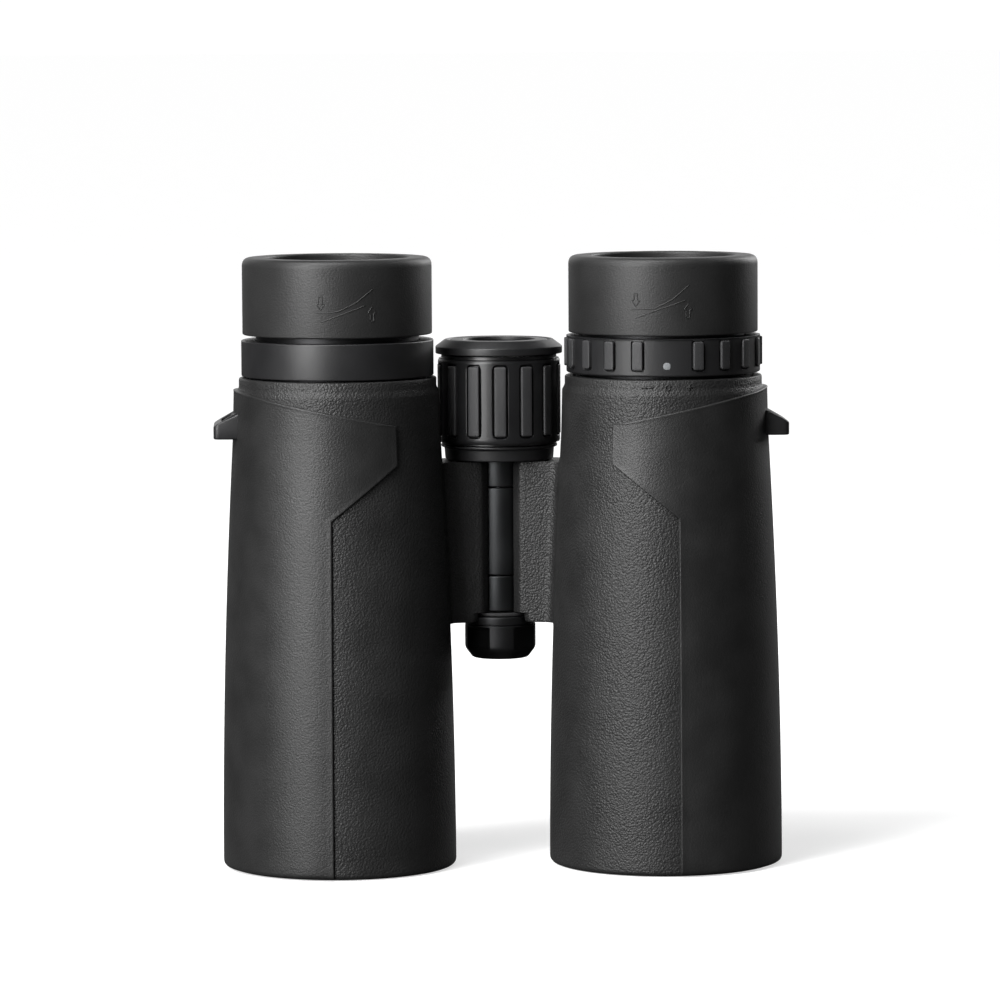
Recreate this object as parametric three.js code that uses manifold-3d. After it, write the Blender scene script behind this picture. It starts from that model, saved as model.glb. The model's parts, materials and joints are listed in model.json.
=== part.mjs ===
// Roof-prism binoculars, standing on their two objective ends.
// Millimetres. X runs from the left barrel to the right barrel, Y from the side with the
// setting marks to the other side, Z from the objectives up to the eyecups. The origin is
// on the ground, midway between the two barrel axes.

import * as THREE from 'three';
import { mergeVertices } from 'three/addons/utils/BufferGeometryUtils.js';
import Module from 'manifold-3d';

const wasm = await Module();
wasm.setup();

// ---- Driving dimensions -------------------------------------------------------------

// Layout
const barrelSpacing = 73;       // between the two barrel axes, barrels fully spread
const hingeDepth = 10;          // hinge axis behind the plane of the barrel axes
const bodyHeight = 109.9;       // ground to the top of the armour

// Barrel outside
const baseRadius = 25.9;        // armour at the objective end
const waistRadius = 22.95;      // armour where the taper ends
const waistDrop = 12.9;         // from the armour's top down to the end of the taper
const taperPower = 1.88;        // how late the barrel starts to narrow
const shoulderRadius = 22.7;
const shoulderDrop = 3.2;       // from the armour's top down to the shoulder
const neckStep = 0.4;           // neck beyond the dioptre ring's side
const neckSlope = 1.2;          // height of the slope from the shoulder to the neck
const baseFillet = 1.2;
const armourWall = 1.8;
const armourLip = 2.2;          // thickness of the lip that the barrel stands on
const lipWidth = 3.5;
const chassisWall = 1.5;
const flangeDrop = 0.7;         // top flange's underside below the shoulder

// Bridge and hinge
const webDrop = 19.6;           // from the armour's top down to the bridge's top
const webHeight = 36.3;
const webHalf = 6.8;            // half the bridge's thickness
const webCoreHalf = 4.6;        // half the thickness of the chassis inside it
const knuckleRadius = 5.5;
const knuckleInset = 2.2;       // lowest knuckle above the bridge's underside
const lowerKnuckle = 8;
const upperKnuckle = 5.9;
const knuckleGap = 0.2;
const armourClear = 0.5;        // armour's clearance round the knuckles
const coreClear = 1;            // the casting's, wider so that its front corners pass in the fold
const tongueStart = 1;          // each knuckle's tongue goes into the barrel casting
const tongueEnd = 9;
const tongueFront = -3.6;
const tongueBack = 0.7;
const hingePinRadius = 3;
const hingeShoulder = 3;        // length of pin held at each end of the hinge tube
const frontEdgeAngle = 28.8;    // the armour stops this far from the hinge's front, degrees
const backEdgeAngle = 8;        // and this far from its back
const foldRange = 54;           // degrees
const frontEdgeWall = 1.9;      // armour beyond the hinge tube at the front edge
const backEdgeWall = 2.9;       // and at the back edge
const webRoot = 14.4;           // the bridge is drawn to this distance from the barrel's axis

// Hinge cap and tripod socket
const capStep = 2.5;            // cap beyond the knuckles
const capHeight = 9.7;
const capFloor = 1.8;
const capSink = 1.1;            // how far the cap goes up into the bridge
const capGrooves = 4;
const capGrooveWidth = 6.2;
const capGrooveDepth = 0.7;
const capWall = 2.1;
const socketThread = 3.175;     // quarter-inch tripod thread
const sealThickness = 0.7;
const sealStep = 1;             // the seal is this much smaller than the cap

// Eyepieces
const collarStep = 0.3;         // collar beyond the eyecup's side
const collarHeight = 8;
const collarGap = 0.4;
const dioptreStep = 0.5;        // dioptre ring beyond the eyecup's side
const dioptreHeight = 8.3;
const dioptreGap = 0.7;
const dioptrePads = 20;
const dioptrePadRise = 0.5;
const dioptrePadAngle = 6.4;    // degrees
const dioptrePadMargin = 0.9;
const gripWall = 1.2;
const eyecupRadius = 21.2;
const eyecupHeight = 17.2;
const eyecupGap = 9.65;         // from the armour's top up to the eyecup's foot
const eyecupFillet = 2;
const eyecupRim = 5.1;          // from the outside to the opening
const eyecupRubber = 0.8;
const eyecupLip = 4;            // thickness of the rubber over the eyecup's top
const eyecupLift = 9;
const sleeveWall = 0.8;
const guideWall = 0.5;
const guideHeight = 2.6;
const tubeWall = 1.9;
const ocularWall = 2.6;
const ocularFoot = 2;           // lowest end of the eyepiece lenses below the armour's top
const ocularDrop = 2;           // eyepiece's lens cell below its tube's top end
const fieldLensHeight = 4.4;
const eyeLensHeight = 4.8;
const retainerHeight = 1.4;
const retainerWidth = 1.7;
const eyeCurve = 62;            // radius of curvature of both eyepiece lenses' round faces

// Objectives
const objectiveDepth = 5.2;     // retaining ring's front above the ground
const objectiveCellLength = 18;
const objectiveCellWall = 0.9;
const cellLedge = 1.6;          // the ledge that the flint lens sits under
const flintThickness = 3;
const lensRim = 3;
const crownCurve = 133.5;       // radius of curvature of the crown lens

// Prisms
const prismDrop = 27.4;         // from the armour's top down to the prism cage's foot
const prismCageHeight = 23;
const prismPocket = 24;         // width of the square pocket
const prismGap = 0.5;

// Focusing
const focusTravel = 3;          // each way
const focusCellLength = 7;
const focusLensRadius = 13.6;
const focusLensHeight = 3.4;
const armThickness = 1.2;
const armInner = 1.2;           // the arm's nearer edge, from the bridge's centre line
const armWidth = 1.8;
const carriageRadius = 4;
const carriageGroove = 2.6;
const carriageHeight = 4;
const tubeBore = 4.3;           // hollow of the hinge tube
const spindleRadius = 1.6;

// Focus wheel
const wheelRadius = 13.75;
const wheelHeight = 19.7;
const wheelBoss = 12.3;
const wheelBossHeight = 3;
const wheelPads = 14;
const wheelPadAngle = 10.4;     // degrees
const wheelPadHeight = 15.6;
const wheelPadRise = 0.25;
const wheelShell = 1.3;
const wheelGrip = 1.1;
const capRingOverhang = 0.55;   // top ring beyond the wheel's body
const capRingGroove = 1.1;
const capRingHeight = 3.2;
const capRingBand = 2;
const capRingSlope = 2.15;      // width of the slope on top of the ring
const discRadius = 7.8;
const discRecess = 0.9;

// Strap lugs
const lugStandOut = 5.1;        // beyond the armour's shoulder
const lugFoot = 13.4;           // underside of the lug below the armour's top
const lugTip = 2.4;
const lugRise = 5.7;
const lugHalfWidth = 7;
const lugSlotHalf = 5;
const lugSlotWidth = 2.6;
const lugBar = 1.6;
const lugSink = 1.7;            // into the armour's shoulder

// Clearances
const fit = 0.3;                // between neighbours that are cut to each other
const slideFit = 0.3;           // between pieces that slide or turn in each other
const pinFit = 0.15;
const stackGap = 0.3;           // between faces that meet along Z

// Smoothness
const outerSides = 28;
const innerSides = 20;
const pinSides = 16;
const taperSteps = 4;

// ---- Worked-out sizes -----------------------------------------------------------------

const rad = THREE.MathUtils.degToRad;
const half = barrelSpacing / 2;
const hingeArm = Math.hypot(half, hingeDepth);
const waistZ = bodyHeight - waistDrop;
const shoulderZ = bodyHeight - shoulderDrop;
const webTop = bodyHeight - webDrop;
const webFoot = webTop - webHeight;
const lowerKnuckleZ = webFoot + knuckleInset;
const tubeFoot = lowerKnuckleZ + lowerKnuckle + knuckleGap;
const tubeTop = webTop - upperKnuckle - knuckleGap;
const focusZ = (tubeFoot + tubeTop) / 2;
const knuckleSpace = knuckleRadius + armourClear;
const coreSpace = knuckleRadius + coreClear;

// Outside radius of the armour at height z.
function barrelRadius(z) {
  if (z >= waistZ) {
    const t = Math.min((z - waistZ) / (shoulderZ - waistZ), 1);
    return waistRadius + (shoulderRadius - waistRadius) * t;
  }
  return baseRadius - (baseRadius - waistRadius) * Math.pow(Math.max(z, 0) / waistZ, taperPower);
}

const chassisRadius = (z) => barrelRadius(z) - armourWall - fit;
const chassisBore = (z) => chassisRadius(z) - chassisWall;

// Heights shared by the eyepieces
const tubeRadius = eyecupRadius - eyecupRubber - sleeveWall - guideWall - 3 * slideFit;
const eyecupFoot = bodyHeight + eyecupGap;
const eyecupTop = eyecupFoot + eyecupHeight;
const eyecupMouth = eyecupRadius - eyecupRim;
const collarRadius = eyecupRadius + collarStep;
const dioptreRadius = eyecupRadius + dioptreStep;
const neckRadius = dioptreRadius + neckStep;
const sleeveTop = eyecupTop - eyecupLip - stackGap;
const tubeEnd = sleeveTop - sleeveWall - 2 * stackGap;
const ocularTop = tubeEnd - ocularDrop;
const tubeInner = tubeRadius - tubeWall;
const ocularRadius = tubeInner - slideFit;
const ocularBore = ocularRadius - ocularWall;
const flangeZ = shoulderZ - flangeDrop;
const cageFoot = bodyHeight - prismDrop;
const cageTop = cageFoot + prismCageHeight;
const capRadius = knuckleRadius + capStep;
const socketRadius = capRadius - capWall - slideFit;
const sealRadius = capRadius - sealStep;
const lugReach = shoulderRadius + lugStandOut;
const lugRoot = shoulderRadius - lugSink;

// ---- Solids ---------------------------------------------------------------------------

// A three.js geometry as a manifold solid, with shared corners merged and the
// zero-area triangles at a lathe's poles dropped.
function solid(geometry) {
  geometry.deleteAttribute('normal');
  geometry.deleteAttribute('uv');
  const merged = mergeVertices(geometry, 1e-4);
  const index = Array.from(merged.index.array);
  const kept = [];
  for (let i = 0; i < index.length; i += 3) {
    const [a, b, c] = index.slice(i, i + 3);
    if (a !== b && b !== c && c !== a) kept.push(a, b, c);
  }
  return new wasm.Manifold(new wasm.Mesh({
    numProp: 3,
    vertProperties: new Float32Array(merged.attributes.position.array),
    triVerts: new Uint32Array(kept),
  }));
}

// A profile of [radius, z] points turned about the Z axis. The points run so that the
// material is on their left when radius is drawn to the right and z upwards.
function turned(profile, sides) {
  const points = profile.map(([r, z]) => new THREE.Vector2(r, z));
  const first = profile[0];
  const last = profile[profile.length - 1];
  if (first[0] > 0 || last[0] > 0) points.push(points[0].clone());
  return solid(new THREE.LatheGeometry(points, sides).rotateX(Math.PI / 2));
}

// A plain tube, or a rod when inner is 0.
function tube(outer, inner, z0, z1, sides) {
  if (inner > 0) return turned([[inner, z0], [outer, z0], [outer, z1], [inner, z1]], sides);
  return turned([[0, z0], [outer, z0], [outer, z1], [0, z1]], sides);
}

function box(x0, x1, y0, y1, z0, z1) {
  const shape = new THREE.BoxGeometry(x1 - x0, y1 - y0, z1 - z0);
  return solid(shape.translate((x0 + x1) / 2, (y0 + y1) / 2, (z0 + z1) / 2));
}

// A flat outline of [x, y] points raised from z0 to z1.
function raised(outline, z0, z1) {
  const shape = new THREE.Shape(outline.map(([x, y]) => new THREE.Vector2(x, y)));
  const geometry = new THREE.ExtrudeGeometry(shape, { depth: z1 - z0, bevelEnabled: false });
  return solid(geometry.translate(0, 0, z0));
}

// An outline of [x, z] points drawn out along Y from y0 to y1.
function acrossY(outline, y0, y1) {
  const flipped = outline.map(([x, z]) => [x, -z]);
  return raised(flipped, y0, y1).rotate([-90, 0, 0]);
}

// An outline of [y, z] points drawn out along X from x0 to x1.
function acrossX(outline, x0, x1) {
  return acrossY(outline.map(([y, z]) => [-y, z]), x0, x1).rotate([0, 0, -90]);
}

const group = new THREE.Group();
group.name = 'binoculars';

function add(parent, name, shape, finish) {
  const mesh = shape.getMesh();
  const geometry = new THREE.BufferGeometry();
  geometry.setAttribute('position', new THREE.BufferAttribute(mesh.vertProperties, 3));
  geometry.setIndex(new THREE.BufferAttribute(mesh.triVerts, 1));
  geometry.computeVertexNormals();
  const part = new THREE.Mesh(geometry, finish.clone());
  part.name = name;
  parent.add(part);
}

// ---- Finishes -------------------------------------------------------------------------

function finish(color, roughness, metalness, opacity = 1) {
  return new THREE.MeshStandardMaterial({
    color, roughness, metalness, opacity, transparent: opacity < 1,
  });
}

const armourRubber = finish(0x26272a, 0.75, 0);
const castAlloy = finish(0x3a3b3e, 0.55, 0.6);
const blackAnodised = finish(0x1c1d1f, 0.4, 0.7);
const satinAlloy = finish(0x55575b, 0.35, 0.9);
const brightSteel = finish(0x9a9c9f, 0.3, 1);
const glossPlastic = finish(0x17181a, 0.2, 0);
const mattePlastic = finish(0x222326, 0.55, 0);
const softRubber = finish(0x1e1f21, 0.8, 0);
const coatedGlass = finish(0x3f5a52, 0.05, 0, 0.4);
const clearGlass = finish(0xc9d6d2, 0.05, 0, 0.4);
const brassFinish = finish(0xb08d4a, 0.35, 1);

// ---- The bridge's own frame -----------------------------------------------------------

// Each bridge half is laid out from the hinge axis: "along" runs from the hinge to the
// barrel's axis and "back" runs square to it, away from the viewer. side is -1 for the
// left half and +1 for the right half. The result is in the barrel's own frame.
function bridgePoint(side, along, back) {
  const ux = side * half / hingeArm;
  const uy = -hingeDepth / hingeArm;
  const hinge = hingeInBarrel(side);
  return [hinge[0] + along * ux - back * side * uy, hinge[1] + along * uy + back * side * ux];
}

const hingeInBarrel = (side) => [-side * half, hingeDepth];

function bridgeBlock(side, a0, a1, b0, b1, z0, z1) {
  const corners = [[a0, b0], [a1, b0], [a1, b1], [a0, b1]];
  return raised(corners.map(([a, b]) => bridgePoint(side, a, b)), z0, z1);
}

function atHinge(side, shape) {
  const [x, y] = hingeInBarrel(side);
  return shape.translate([x, y, 0]);
}

// A point around the hinge, its angle measured from the front (-Y) towards the barrel.
function aroundHinge(side, radius, angle) {
  const [x, y] = hingeInBarrel(side);
  return [x + side * radius * Math.sin(rad(angle)), y - radius * Math.cos(rad(angle))];
}

// ---- Barrel castings and armour -------------------------------------------------------

function taperPoints(offset, z0, z1) {
  const points = [];
  for (let i = 0; i <= taperSteps; i += 1) {
    const z = z0 + (z1 - z0) * i / taperSteps;
    points.push([barrelRadius(z) - offset, z]);
  }
  return points;
}

function barrelSolid(offset, z0, z1, top) {
  return turned([[0, z0], ...taperPoints(offset, z0, Math.min(waistZ, z1)),
    [shoulderRadius - offset, shoulderZ], [top, shoulderZ + neckSlope], [top, z1], [0, z1]], outerSides);
}

const windowLow = focusZ - focusTravel - armThickness;
const windowHigh = focusZ + focusTravel + armThickness;

function lugOutline() {
  const foot = bodyHeight - lugFoot;
  return [[lugRoot, foot], [lugReach - 0.4, foot], [lugReach, foot + 0.4], [lugReach, foot + lugTip],
    [shoulderRadius, foot + lugRise], [lugRoot, foot + lugRise]];
}

function armour(side) {
  const barrelEnd = hingeArm - waistRadius + 2;
  const outline = [
    hingeInBarrel(side),
    aroundHinge(side, knuckleRadius + frontEdgeWall, frontEdgeAngle),
    bridgePoint(side, barrelEnd, -webHalf),
    bridgePoint(side, hingeArm - webRoot, -webHalf),
    bridgePoint(side, hingeArm - webRoot, webHalf),
    bridgePoint(side, barrelEnd, webHalf),
    aroundHinge(side, knuckleRadius + backEdgeWall, 180 - backEdgeAngle),
  ];
  const rounded = turned([[0, 0], [baseRadius - baseFillet, 0],
    ...taperPoints(0, baseFillet, waistZ), [shoulderRadius, shoulderZ],
    [neckRadius, shoulderZ + neckSlope], [neckRadius, bodyHeight], [0, bodyHeight]], outerSides);
  const space = barrelSolid(armourWall, armourLip, bodyHeight + 1, neckRadius - armourWall);
  const foot = bodyHeight - lugFoot;
  const pocket = [side * lugRoot, side * (lugReach + 2)].sort((a, b) => a - b);
  const width = lugHalfWidth + fit;
  return rounded
    .add(raised(outline, webFoot, webTop))
    .subtract(space)
    .subtract(tube(baseRadius - lipWidth, 0, -1, armourLip + 1, outerSides))
    .subtract(bridgeBlock(side, 0, hingeArm - webRoot, -webCoreHalf - fit, webCoreHalf + fit,
      lowerKnuckleZ - fit, webTop - armourWall + fit))
    .subtract(atHinge(side, tube(knuckleSpace, 0, webFoot - 1, webTop + 1, innerSides)))
    .subtract(atHinge(side, tube(capRadius + 0.5, 0, webFoot - 1, lowerKnuckleZ, innerSides)))
    .subtract(box(pocket[0], pocket[1], -width, width, foot - fit, foot + lugRise + fit));
}

function chassis(side) {
  const foot = armourLip + stackGap;
  const body = barrelSolid(armourWall + fit, foot, bodyHeight, neckRadius - armourWall - fit);
  const core = bridgeBlock(side, 0, hingeArm - webRoot, -webCoreHalf, webCoreHalf,
    lowerKnuckleZ, webTop - armourWall);
  const inside = turned([[0, foot - 1], ...taperPoints(armourWall + fit + chassisWall, foot - 1, waistZ),
    [chassisBore(shoulderZ), flangeZ], [tubeRadius + fit, flangeZ],
    [tubeRadius + fit, bodyHeight + 1], [0, bodyHeight + 1]], outerSides);
  const armEnd = hingeArm - chassisBore(focusZ) + 4;
  return body.add(core)
    .subtract(inside)
    .subtract(atHinge(side, tube(coreSpace, 0, webFoot, webTop, innerSides)))
    .subtract(bridgeBlock(side, 0, tongueEnd + fit, tongueFront - fit, tongueBack + fit,
      webFoot, webTop))
    .subtract(bridgeBlock(side, 0, armEnd, armInner - slideFit, armInner + armWidth + slideFit,
      windowLow, windowHigh));
}

function strapLug(side) {
  const outline = lugOutline().map(([x, z]) => [side * x, z]);
  const slot = [side * (lugReach - lugBar), side * (lugReach - lugBar - lugSlotWidth)];
  slot.sort((a, b) => a - b);
  return acrossY(outline, -lugHalfWidth, lugHalfWidth)
    .subtract(tube(lugRoot + fit, 0, 0, bodyHeight, outerSides))
    .subtract(box(slot[0], slot[1], -lugSlotHalf, lugSlotHalf, 0, bodyHeight));
}

// ---- Optics ---------------------------------------------------------------------------

// How far a round face of this curvature stands out over a lens of the given radius.
const sag = (curve, radius) => curve - Math.sqrt(curve * curve - radius * radius);

// A lens of the given radius. lowBulge and highBulge are how far its two faces stand out
// at the middle, negative for a hollow face; z0 and z1 are the edges of its rim.
function lens(radius, z0, z1, lowBulge, highBulge) {
  const ring = 0.55;
  const depth = 1 - ring * ring;
  return turned([[0, z0 - lowBulge], [radius * ring, z0 - lowBulge * depth], [radius, z0],
    [radius, z1], [radius * ring, z1 + highBulge * depth], [0, z1 + highBulge]], innerSides);
}

function objective(parent, name) {
  const outer = chassisBore(objectiveCellLength + objectiveDepth) - fit;
  const inner = outer - objectiveCellWall;
  const foot = armourLip + stackGap;
  const seat = objectiveDepth + retainerHeight + stackGap;
  const glass = inner - fit;
  const bulge = sag(crownCurve, glass);
  const crownTop = seat + lensRim + 1;
  const shelf = crownTop + bulge + flintThickness + lensRim;
  const cell = turned([[inner, foot], [outer, foot], [outer, shelf + cellLedge],
    [inner - cellLedge, shelf + cellLedge], [inner - cellLedge, shelf], [inner, shelf]], innerSides);
  const retainer = tube(glass, glass - retainerWidth, objectiveDepth, seat - stackGap, innerSides);
  const crown = lens(glass, seat + bulge, crownTop, bulge, bulge);
  const flint = lens(glass, crownTop + bulge + stackGap - 0.9, shelf - stackGap, -bulge, 0.6);
  add(parent, `${name}_objective_cell`, cell, blackAnodised);
  add(parent, `${name}_objective_retainer`, retainer, blackAnodised);
  add(parent, `${name}_objective_crown`, crown, coatedGlass);
  add(parent, `${name}_objective_flint`, flint, clearGlass);
}

function focusing(parent, name, side) {
  const outer = chassisBore(focusZ + focusTravel + focusCellLength / 2) - slideFit;
  const low = focusZ - focusCellLength / 2;
  const high = focusZ + focusCellLength / 2;
  const ledge = low + 1.2;
  const ring = turned([[focusLensRadius - 1.4, low], [outer, low], [outer, high],
    [focusLensRadius + fit, high], [focusLensRadius + fit, ledge], [focusLensRadius - 1.4, ledge]],
  innerSides);
  const bar = bridgeBlock(side, 0, hingeArm - outer + 2, armInner, armInner + armWidth,
    focusZ - armThickness / 2, focusZ + armThickness / 2);
  const cell = bar
    .subtract(atHinge(side, tube(carriageGroove + fit, 0, 0, bodyHeight, pinSides)))
    .add(ring);
  const bulge = -0.8;
  add(parent, `${name}_focusing_cell`, cell, blackAnodised);
  add(parent, `${name}_focusing_lens`,
    lens(focusLensRadius, ledge + stackGap, ledge + focusLensHeight, bulge, bulge), clearGlass);
}

function prisms(parent, name) {
  const outer = chassisBore(cageTop) - fit;
  const pocket = prismPocket / 2;
  const ledge = 1.2;
  const opening = pocket - 1.5;
  const cage = tube(outer, 0, cageFoot, cageTop, innerSides)
    .subtract(box(-pocket, pocket, -pocket, pocket, cageFoot + ledge, cageTop + 1))
    .subtract(box(-opening, opening, -opening, opening, cageFoot - 1, cageTop));
  const w = pocket - fit;
  const low = cageFoot + ledge + stackGap;
  const high = cageTop - ledge;
  const split = (low + high) / 2;
  const slope = 4.6;
  const lower = [[-w, low], [w, low], [w, split + slope], [-w, split - slope]];
  const upper = [[-w, split - slope + prismGap], [w, split + slope + prismGap], [w, high - 1],
    [w - 3, high], [3 - w, high], [-w, high - 1]];
  add(parent, `${name}_prism_cage`, cage, castAlloy);
  add(parent, `${name}_half_prism`, acrossX(lower, -w, w), clearGlass);
  add(parent, `${name}_roof_prism`, acrossX(upper, -w, w), clearGlass);
}

function ocular(parent, name) {
  const foot = bodyHeight - ocularFoot;
  const ledge = 1.2;
  const lensRadius = ocularBore - fit;
  const cell = turned([[ocularBore - 1.2, foot], [ocularRadius, foot], [ocularRadius, ocularTop],
    [ocularBore, ocularTop], [ocularBore, foot + ledge], [ocularBore - 1.2, foot + ledge]],
  innerSides);
  const retainerTop = ocularTop - 0.8;
  const retainerFoot = retainerTop - retainerHeight;
  const dome = sag(eyeCurve, lensRadius);
  const eyeRim = retainerFoot - stackGap;
  const fieldFoot = foot + ledge + stackGap + dome;
  add(parent, `${name}_ocular_cell`, cell, blackAnodised);
  add(parent, `${name}_field_lens`,
    lens(lensRadius, fieldFoot, fieldFoot + fieldLensHeight - dome, 0, dome), clearGlass);
  add(parent, `${name}_eye_lens`,
    lens(lensRadius, eyeRim - eyeLensHeight, eyeRim, dome, dome), coatedGlass);
  add(parent, `${name}_eye_retainer`,
    tube(lensRadius, lensRadius - retainerWidth, retainerFoot, retainerTop, innerSides),
    blackAnodised);
}

// ---- Eyepiece outsides ----------------------------------------------------------------

function eyepieceTube(parent, name) {
  const foot = flangeZ + stackGap;
  add(parent, `${name}_eyepiece_tube`,
    tube(tubeRadius, tubeInner, foot, tubeEnd, outerSides), blackAnodised);
}

function eyecup(parent, name) {
  const rubberInner = eyecupRadius - eyecupRubber;
  const sleeveOuter = rubberInner - slideFit;
  const sleeveInner = sleeveOuter - sleeveWall;
  const under = eyecupTop - eyecupLip;
  const round = eyecupFillet;
  const rubber = turned([[rubberInner, eyecupFoot], [eyecupRadius, eyecupFoot],
    [eyecupRadius, eyecupTop - round], [eyecupRadius - round * 0.3, eyecupTop - round * 0.3],
    [eyecupRadius - round, eyecupTop], [eyecupMouth + 1.4, eyecupTop],
    [eyecupMouth, eyecupTop - 1.2], [eyecupMouth, under], [rubberInner, under]], outerSides);
  const sleeve = turned([[sleeveInner, eyecupFoot + stackGap], [sleeveOuter, eyecupFoot + stackGap],
    [sleeveOuter, sleeveTop], [eyecupMouth + fit, sleeveTop],
    [eyecupMouth + fit, sleeveTop - sleeveWall], [sleeveInner, sleeveTop - sleeveWall]], outerSides);
  const guideOuter = sleeveInner - slideFit;
  const guideFoot = eyecupFoot + stackGap;
  add(parent, `${name}_eyecup_rubber`, rubber, softRubber);
  add(parent, `${name}_eyecup_sleeve`, sleeve, blackAnodised);
  add(parent, `${name}_eyecup_guide_ring`,
    tube(guideOuter, guideOuter - guideWall, guideFoot, guideFoot + guideHeight, outerSides),
    satinAlloy);
}

function collar(parent) {
  const foot = bodyHeight + collarGap;
  const inner = tubeRadius + slideFit;
  const edge = 0.5;
  const shape = turned([[inner, foot], [collarRadius - edge, foot], [collarRadius, foot + edge],
    [collarRadius, foot + collarHeight - edge], [collarRadius - edge, foot + collarHeight],
    [inner, foot + collarHeight]], outerSides);
  add(parent, 'left_collar', shape, mattePlastic);
}

function dioptre(parent) {
  const foot = bodyHeight + dioptreGap;
  const top = foot + dioptreHeight;
  const inner = tubeRadius + slideFit;
  const seat = dioptreRadius - gripWall;
  const lip = dioptrePadMargin;
  const core = turned([[inner, foot], [seat, foot], [seat, top - lip], [dioptreRadius, top - lip],
    [dioptreRadius - 0.4, top], [inner, top]], outerSides);
  let grip = tube(dioptreRadius, seat + fit, foot, top - lip - stackGap, outerSides);
  const chord = 2 * dioptreRadius * Math.sin(rad(dioptrePadAngle / 2));
  for (let i = 0; i < dioptrePads - 1; i += 1) {
    const angle = 270 + (i + 1) * 360 / dioptrePads;
    const pad = box(dioptreRadius - 0.8, dioptreRadius + dioptrePadRise, -chord / 2, chord / 2,
      foot + lip, top - lip - stackGap - 0.4);
    grip = grip.add(pad.rotate([0, 0, angle]));
  }
  add(parent, 'dioptre_ring', core, mattePlastic);
  add(parent, 'dioptre_grip', grip, softRubber);
}

// ---- Hinge ----------------------------------------------------------------------------

function tongue(side, z0, z1) {
  const [x, y] = hingeInBarrel(side);
  return bridgeBlock(side, tongueStart, tongueEnd, tongueFront, tongueBack, z0, z1).translate([-x, -y, 0]);
}

// The swing of the right focusing arm through the hinge tube's wall.
function swingWindow() {
  const reach = knuckleRadius + 1;
  const lean = Math.atan2(hingeDepth, half);
  const outerEdge = armInner + armWidth + slideFit;
  const innerEdge = armInner - slideFit;
  const start = Math.asin(outerEdge / tubeBore) - lean + rad(3);
  const stop = Math.asin(innerEdge / knuckleRadius) - lean - rad(foldRange + 1);
  const outline = [[0, 0]];
  const steps = 6;
  for (let i = 0; i <= steps; i += 1) {
    const angle = start + (stop - start) * i / steps;
    outline.push([reach * Math.cos(angle), reach * Math.sin(angle)]);
  }
  return raised(outline, windowLow, windowHigh);
}

function hingeBody() {
  const [x, y] = hingeInBarrel(-1);
  const hollowFoot = tubeFoot + hingeShoulder;
  const hollowTop = tubeTop - hingeShoulder;
  const shape = tube(knuckleRadius, 0, tubeFoot, tubeTop, innerSides)
    .add(tongue(-1, tubeFoot + 0.6, tubeTop - 0.6))
    .subtract(tube(hingePinRadius + pinFit, 0, tubeFoot - 1, tubeTop + 1, pinSides))
    .subtract(tube(tubeBore, 0, hollowFoot, hollowTop, innerSides))
    .subtract(bridgeBlock(-1, 0, knuckleRadius + 1, armInner - slideFit, armInner + armWidth + slideFit,
      windowLow, windowHigh).translate([-x, -y, 0]))
    .subtract(swingWindow());
  add(hinge, 'hinge_tube', shape, satinAlloy);
}

function knuckle(name, z0, z1) {
  const shape = tube(knuckleRadius, 0, z0, z1, innerSides)
    .add(tongue(1, z0 + 0.5, z1 - armourWall))
    .subtract(tube(hingePinRadius + pinFit, 0, z0 - 1, z1 + 1, pinSides));
  add(hinge, name, shape, satinAlloy);
}

function hingePins() {
  const upperFoot = tubeTop - hingeShoulder + stackGap;
  add(hinge, 'upper_hinge_pin',
    tube(hingePinRadius, spindleRadius + slideFit, upperFoot, webTop - 0.1, pinSides), brightSteel);
  add(hinge, 'lower_hinge_pin',
    tube(hingePinRadius, 0, lowerKnuckleZ + 0.4, tubeFoot + hingeShoulder - stackGap, pinSides),
    brightSteel);
}

function hingeCap() {
  const top = webFoot + capSink;
  const foot = top - capHeight;
  const bevel = 1.8;
  const grooveZ = top - 2;
  const inner = socketRadius + slideFit;
  let cap = turned([[0, foot], [capRadius - bevel * 1.1, foot], [capRadius, foot + bevel * 1.2],
    [capRadius, top], [inner, top], [inner, foot + capFloor], [0, foot + capFloor]], innerSides);
  for (let i = 0; i < capGrooves; i += 1) {
    const cut = box(capRadius - capGrooveDepth, capRadius + 1, -capGrooveWidth / 2,
      capGrooveWidth / 2, foot - 1, grooveZ);
    cap = cap.subtract(cut.rotate([0, 0, 45 + i * 360 / capGrooves]));
  }
  const socketTop = lowerKnuckleZ - stackGap;
  const socketFoot = foot + capFloor + stackGap;
  const socket = turned([[socketThread, socketFoot], [socketRadius, socketFoot],
    [socketRadius, socketTop], [0, socketTop], [0, socketTop - 1.5],
    [socketThread, socketTop - 1.5]], pinSides);
  add(hinge, 'hinge_cap', cap, blackAnodised);
  add(hinge, 'tripod_socket', socket, brassFinish);
  const sealFoot = top + stackGap * 0.4;
  add(hinge, 'cap_seal',
    tube(sealRadius, socketRadius + slideFit, sealFoot, sealFoot + sealThickness, innerSides),
    softRubber);
}

// ---- Focus wheel ----------------------------------------------------------------------

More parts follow.
